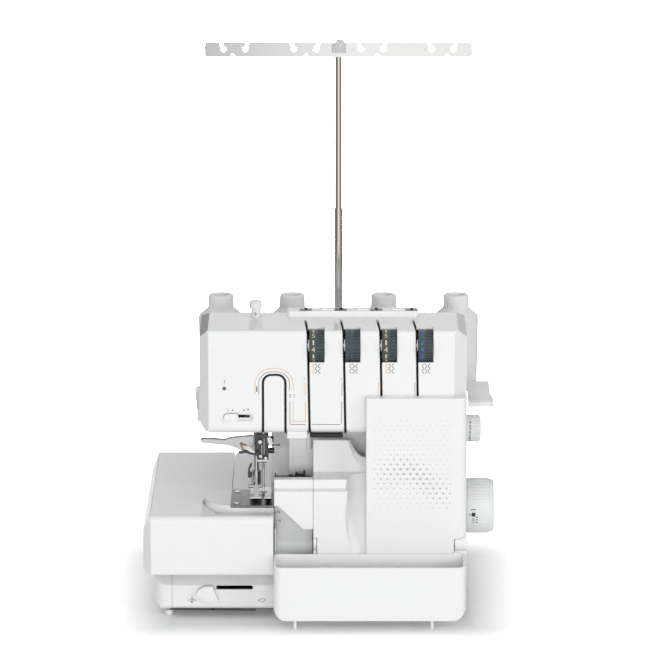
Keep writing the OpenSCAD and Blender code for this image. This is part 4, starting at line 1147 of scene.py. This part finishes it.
@dataclass
class NeedleFittings:
    """Threading lever and foot of the needle clamp, and the release lever of the presser foot."""

    leaf: Route = (
        (-78.4, 169.2), (-75.0, 169.0), (-70.0, 165.4), (-65.6, 161.4),
        (-66.4, 159.6), (-71.0, 161.0), (-75.6, 164.6),
    )
    arm: Route = (
        (-82.6, 161.6), (-79.4, 161.0), (-75.6, 162.6), (-69.6, 160.6), (-62.6, 161.2),
        (-61.6, 158.6), (-63.0, 156.8), (-69.0, 157.8), (-75.8, 159.8), (-79.6, 159.0),
        (-82.8, 159.4),
    )
    fork: Route = (
        (-81.2, 171.0), (-79.2, 171.2), (-73.4, 167.9), (-74.0, 166.9),
        (-78.8, 168.8), (-76.6, 162.6), (-78.2, 162.0), (-79.8, 166.6),
    )
    cheek: Route = (
        (-53.4, 175.2), (-50.4, 175.8), (-48.2, 173.8), (-47.8, 168.6),
        (-49.2, 166.6), (-51.4, 167.4), (-52.8, 170.6),
    )
    foot: Route = (
        (-63.6, 150.0), (-52.4, 150.0), (-51.6, 151.2), (-52.4, 152.0), (-64.0, 152.0),
    )
    foot_lever: Route = (
        (-70.4, 145.4), (-69.0, 145.2), (-69.4, 141.4), (-71.0, 139.4), (-71.2, 136.4),
        (-69.0, 135.0), (-69.4, 129.8), (-72.8, 129.8), (-73.4, 134.0), (-72.8, 140.0),
    )

    @staticmethod
    def _strips() -> Piece:
        """Two upright guide strips on the front of the clamp."""
        strips = []
        for x, low, high in ((-58.9, 152.6, 167.6), (-56.5, 157.6, 174.6)):
            corners = ((x - 0.35, low), (x + 0.35, low), (x + 0.35, high), (x - 0.35, high))
            strips.append(cut_plate(corners, -51.8, -50.6))
        return fuse(strips, "clamp_guides")

    def build(self, shelf: FinishShelf) -> None:
        """Cuts the plates and hands them over."""
        for made, name, slot in (
            (cut_plate(self.foot, -52.2, -50.6), "clamp_foot", "polished_steel"),
            (cut_plate(self.leaf, -55.4, -54.6), "threader_leaf", "polished_steel"),
            (cut_plate(self.arm, -54.6, -51.0), "threader_arm", "dark_steel"),
            (cut_plate(self.fork, -56.0, -55.4), "threader_fork", "bronze"),
            (cut_plate(self.cheek, -52.4, -49.0), "clamp_cheek", "polished_steel"),
            (self._strips(), "clamp_guides", "polished_steel"),
            (cut_plate(self.foot_lever, -38.6, -37.2), "foot_release", "dark_steel"),
        ):
            made.name = name
            body = "presser" if name == "foot_release" else "needle_carrier"
            hand_over(made, body, shelf.slot(slot))


@dataclass(frozen=True)
class Seat:
    """Where a screw sits: its place and radius in mm, its body and the way its head looks."""

    name: str
    place: Point
    radius: float
    body: str
    looks: Point = (0, -1, 0)


@dataclass
class SlottedScrews:
    """Polished slotted screws on the needle clamp, the needle plate and the foot."""

    seats: Tuple[Seat, ...] = (
        Seat("clamp_screw_left", (-60.1, -53.0, 156.0), 1.7, "needle_carrier"),
        Seat("clamp_screw_right", (-54.9, -53.0, 154.0), 1.7, "needle_carrier"),
        Seat("clamp_screw_top", (-60.5, -53.0, 171.0), 2.1, "needle_carrier"),
        Seat("holder_screw", (20.6, 96.8, 553.6), 1.5, "guide"),
        Seat("plate_screw_front", (-84.0, -76.0, 111.2), 2.9, "machine", (0, 0, 1)),
        Seat("plate_screw_rear", (-84.0, -30.0, 111.2), 2.9, "machine", (0, 0, 1)),
    )
    height: float = 0.7
    half_slot: float = 0.13
    slot_depth: float = 0.3
    twist: float = 0.6

    def _template(self) -> Piece:
        """A screw head of radius 1 that looks along +Z, with a slot across it."""
        bpy.ops.mesh.primitive_cylinder_add(
            vertices=36, radius=1.0, depth=self.height, location=(0, 0, self.height / 2)
        )
        made = settle(bpy.context.object)
        with edit_mode(made) as mesh:
            choose(mesh, lambda face: face.normal.z > UPWARD)
            bpy.ops.mesh.bevel(offset=0.16, segments=3, affect="EDGES")
            for side in (-self.half_slot, self.half_slot):
                bpy.ops.mesh.select_all(action="SELECT")
                bpy.ops.mesh.bisect(plane_co=(0, side, 0), plane_no=(0, 1, 0))
            mesh = bmesh.from_edit_mesh(made.data)
            slot = self.half_slot
            choose(mesh, lambda f: f.normal.z > UPWARD and abs(f.calc_center_median().y) < slot)
            sunk = (0, 0, -self.slot_depth)
            bpy.ops.mesh.extrude_region_move(TRANSFORM_OT_translate={"value": sunk})
        return made

    def build(self, shelf: FinishShelf) -> None:
        """Makes one screw and sets a copy on each seat."""
        template = self._template()
        for seat in self.seats:
            turn = Vector((0, 0, 1)).rotation_difference(Vector(seat.looks)).to_matrix().to_4x4()
            turn = turn @ Matrix.Rotation(self.twist, 4, "Z") @ Matrix.Scale(seat.radius * MM, 4)
            made = copy_to(template, Matrix.Translation(mm(*seat.place)) @ turn)
            made.name = seat.name
            bpy.context.view_layer.objects.active = made
            hand_over(made, seat.body, shelf.slot("polished_steel"))
        bpy.data.objects.remove(template)


# --- Studio ---


@dataclass
class Studio:
    """Pale floor, soft lamps, dark cards for the metal and the camera."""

    camera_place: Point = (0.013, -4.51, 1.29)
    camera_drop: float = 12.709
    focal_pixels: float = 4525.0
    frame_pixels: float = 665.0
    room_light: float = 0.47
    room_colour: Tuple[float, ...] = (0.98, 0.99, 1.0, 1.0)
    aim: Point = (0.0, 0.0, 0.2)
    card_z: float = 0.32
    card_h: float = 0.8
    floor_z: float = -0.0002
    floor_tint: Tuple[float, ...] = (0.86, 0.86, 0.86, 1.0)
    # half size of the box round the machine inside which the floor's glow is least, which paints
    # shadow there
    painted_shadow_reach: Point = (0.15, 0.13, 0.0)
    fade: float = 8.0
    painted_shadow_glow: float = 0.08
    mirrored: float = 0.9

    def build(self) -> None:
        """Sets up everything round the machine."""
        self._camera()
        self._world()
        self._floor()
        self._lamp("front lamp", (-0.1, -4.4, 0.72), (2.4, 1.3), 76.0)
        self._lamp("high lamp", (-0.3, -0.5, 2.9), (1.6, 1.6), 6.0)
        self._lamp("right lamp", (2.4, -2.2, 1.2), (1.6, 1.4), 22.0)
        for side, place, turn, width, tint in (
            ("rear left", (-0.47, 0.46), 46.0, 0.66, (0.05, 0.05, 0.052)),
            ("left", (-0.58, -0.02), 90.0, 0.55, (0.32, 0.32, 0.32)),
            ("front left", (-0.4, -0.365), -45.0, 0.36, (0.07, 0.07, 0.07)),
            ("front right", (0.44, -0.345), 45.0, 0.36, (0.56, 0.47, 0.34)),
            ("right", (0.62, -0.015), 90.0, 0.5, (0.17, 0.15, 0.115)),
            ("rear right", (0.48, 0.46), -48.0, 0.66, (0.4, 0.4, 0.4)),
        ):
            self._card(f"{side} card", place, turn, width, tint)
        bpy.context.scene.view_settings.view_transform = "Standard"
        LOG.info("studio ready")

    def _camera(self) -> None:
        """Places the product camera, a little above the machine and level with its middle."""
        data = bpy.data.cameras.new("product camera")
        data.sensor_width = 36.0
        data.lens = 36.0 * self.focal_pixels / self.frame_pixels
        data.clip_end = 60.0
        camera = bpy.data.objects.new("product camera", data)
        camera.location = self.camera_place
        camera.rotation_euler = (math.radians(90.0 - self.camera_drop), 0.0, 0.0)
        bpy.context.scene.collection.objects.link(camera)
        bpy.context.scene.camera = camera

    def _world(self) -> None:
        """Lights the room softly, and shows white to the camera and to shiny pieces."""
        sheet = Sheet("white room", world=True)
        camera, shiny, clear = (
            sheet.node("ShaderNodeLightPath", output=f"Is {ray} Ray")
            for ray in ("Camera", "Glossy", "Transmission")
        )
        light = {"Color": self.room_colour, "Strength": self.room_light}
        room = sheet.node("ShaderNodeBackground", {}, light)
        white = sheet.node("ShaderNodeBackground", {}, {"Color": WHITE, "Strength": 1.0})
        seen = camera.above(shiny).above(clear)
        mixed = sheet.node("ShaderNodeMixShader", {}, {0: seen, 1: room, 2: white})
        bpy.context.scene.world = sheet.end(mixed, "ShaderNodeOutputWorld")

    def _floor(self) -> None:
        """Lays the white floor, which keeps the machine's soft shadow and adds painted shadow round
        its footprint, where the glow is least.
        """
        bpy.ops.mesh.primitive_plane_add(size=30.0, location=(0, 0, self.floor_z))
        floor = bpy.context.object
        floor.name = "floor"
        sheet = Sheet("white floor")
        seen = sheet.node("ShaderNodeLightPath", output="Is Camera Ray")
        shiny = sheet.node("ShaderNodeLightPath", output="Is Glossy Ray")
        beside = sheet.place()
        for operation, other in (
            ("ABSOLUTE", (0.0, 0.0, 0.0)),
            ("SUBTRACT", self.painted_shadow_reach),
            ("MAXIMUM", (0.0, 0.0, 0.0)),
        ):
            terms = {0: beside, 1: other}
            beside = sheet.node("ShaderNodeVectorMath", {"operation": operation}, terms)
        away = sheet.node("ShaderNodeVectorMath", {"operation": "LENGTH"}, {0: beside}, "Value")
        # painted shadow: the camera sees the floor glow least within the box round the machine's
        # footprint, and more with distance from it
        glow = seen * (away * self.fade + self.painted_shadow_glow)
        matte = sheet.node("ShaderNodeBsdfDiffuse", {}, {"Color": self.floor_tint})
        lit = sheet.node("ShaderNodeEmission", {}, {"Color": WHITE, "Strength": glow})
        total = sheet.node("ShaderNodeAddShader", {}, {0: matte, 1: lit})
        level = {"Color": WHITE, "Strength": self.mirrored}
        mirrored = sheet.node("ShaderNodeEmission", {}, level)
        mixed = sheet.node("ShaderNodeMixShader", {}, {0: shiny, 1: total, 2: mirrored})
        floor.data.materials.append(sheet.end(mixed))

    def _lamp(self, name: str, place: Point, size: Tuple[float, float], power: float) -> None:
        """Hangs one soft lamp that looks at the machine and that shiny pieces don't mirror.

        Args:
            name: The lamp's name.
            place: Where it hangs, in metres.
            size: Its width and height, in metres.
            power: Its power, in watts.
        """
        data = bpy.data.lights.new(name, "AREA")
        data.shape = "RECTANGLE"
        data.size, data.size_y = size
        data.energy = power
        lamp = bpy.data.objects.new(name, data)
        lamp.location = place
        lamp.visible_glossy = False
        aim = Vector(self.aim) - Vector(place)
        lamp.rotation_euler = aim.to_track_quat("-Z", "Y").to_euler()
        bpy.context.scene.collection.objects.link(lamp)

    def _card(
        self, name: str, place: Tuple[float, float], turn: float, width: float, tint: Colour
    ) -> None:
        """Stands a dark card that only shiny pieces see.

        Args:
            name: The card's name.
            place: Its middle in X and Y, in metres.
            turn: Degrees about Z.
            width: Its width, in metres.
            tint: The light that comes off it.
        """
        bpy.ops.mesh.primitive_plane_add(size=1, rotation=(math.pi / 2, 0, 0))
        card = bpy.context.object
        card.name = name
        card.scale = (width, self.card_h, 1)
        settle(card)
        stand = Matrix.Translation((*place, self.card_z))
        card.data.transform(stand @ Matrix.Rotation(math.radians(turn), 4, "Z"))
        sheet = Sheet(f"{name} felt")
        light = sheet.node("ShaderNodeEmission", {}, {"Color": (*tint, 1.0), "Strength": 1.0})
        card.data.materials.append(sheet.end(light))
        card.visible_camera = False
        card.visible_diffuse = False
        card.visible_shadow = False


# --- Whole machine ---


@dataclass
class Dresser:
    """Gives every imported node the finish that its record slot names."""

    frame: Dict[str, object]
    shelf: FinishShelf = field(default_factory=FinishShelf)

    def dress_nodes(self) -> None:
        """Puts the finishes on."""
        nodes = self.frame["nodes"]
        for part in self.frame["record"]["subparts"]:
            obj = nodes[part["node"]]
            material = self.shelf.slot(OWN_FINISH.get(part["node"], part["material_slot"]))
            if not obj.material_slots:
                obj.data.materials.append(material)
            for slot in obj.material_slots:
                slot.material = material
            LOG.info("%s wears %s", part["node"], material.name)


def main() -> None:
    """Builds the dressed machine."""
    logging.basicConfig(level=logging.INFO, format="%(message)s")
    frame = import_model()
    Studio().build()
    dresser = Dresser(frame)
    dresser.dress_nodes()
    for marks in (
        HeadMarks(),
        TensionDialMarks(),
        CoverPrint(),
        BaseMarks(),
        GuidePlateMarks(),
        KnobMarks(),
        SideDialMarks(),
        ColumnFlank(),
        WellTray(),
        NeedleFittings(),
        SlottedScrews(),
    ):
        marks.build(dresser.shelf)


if __name__ == "__main__":
    main()
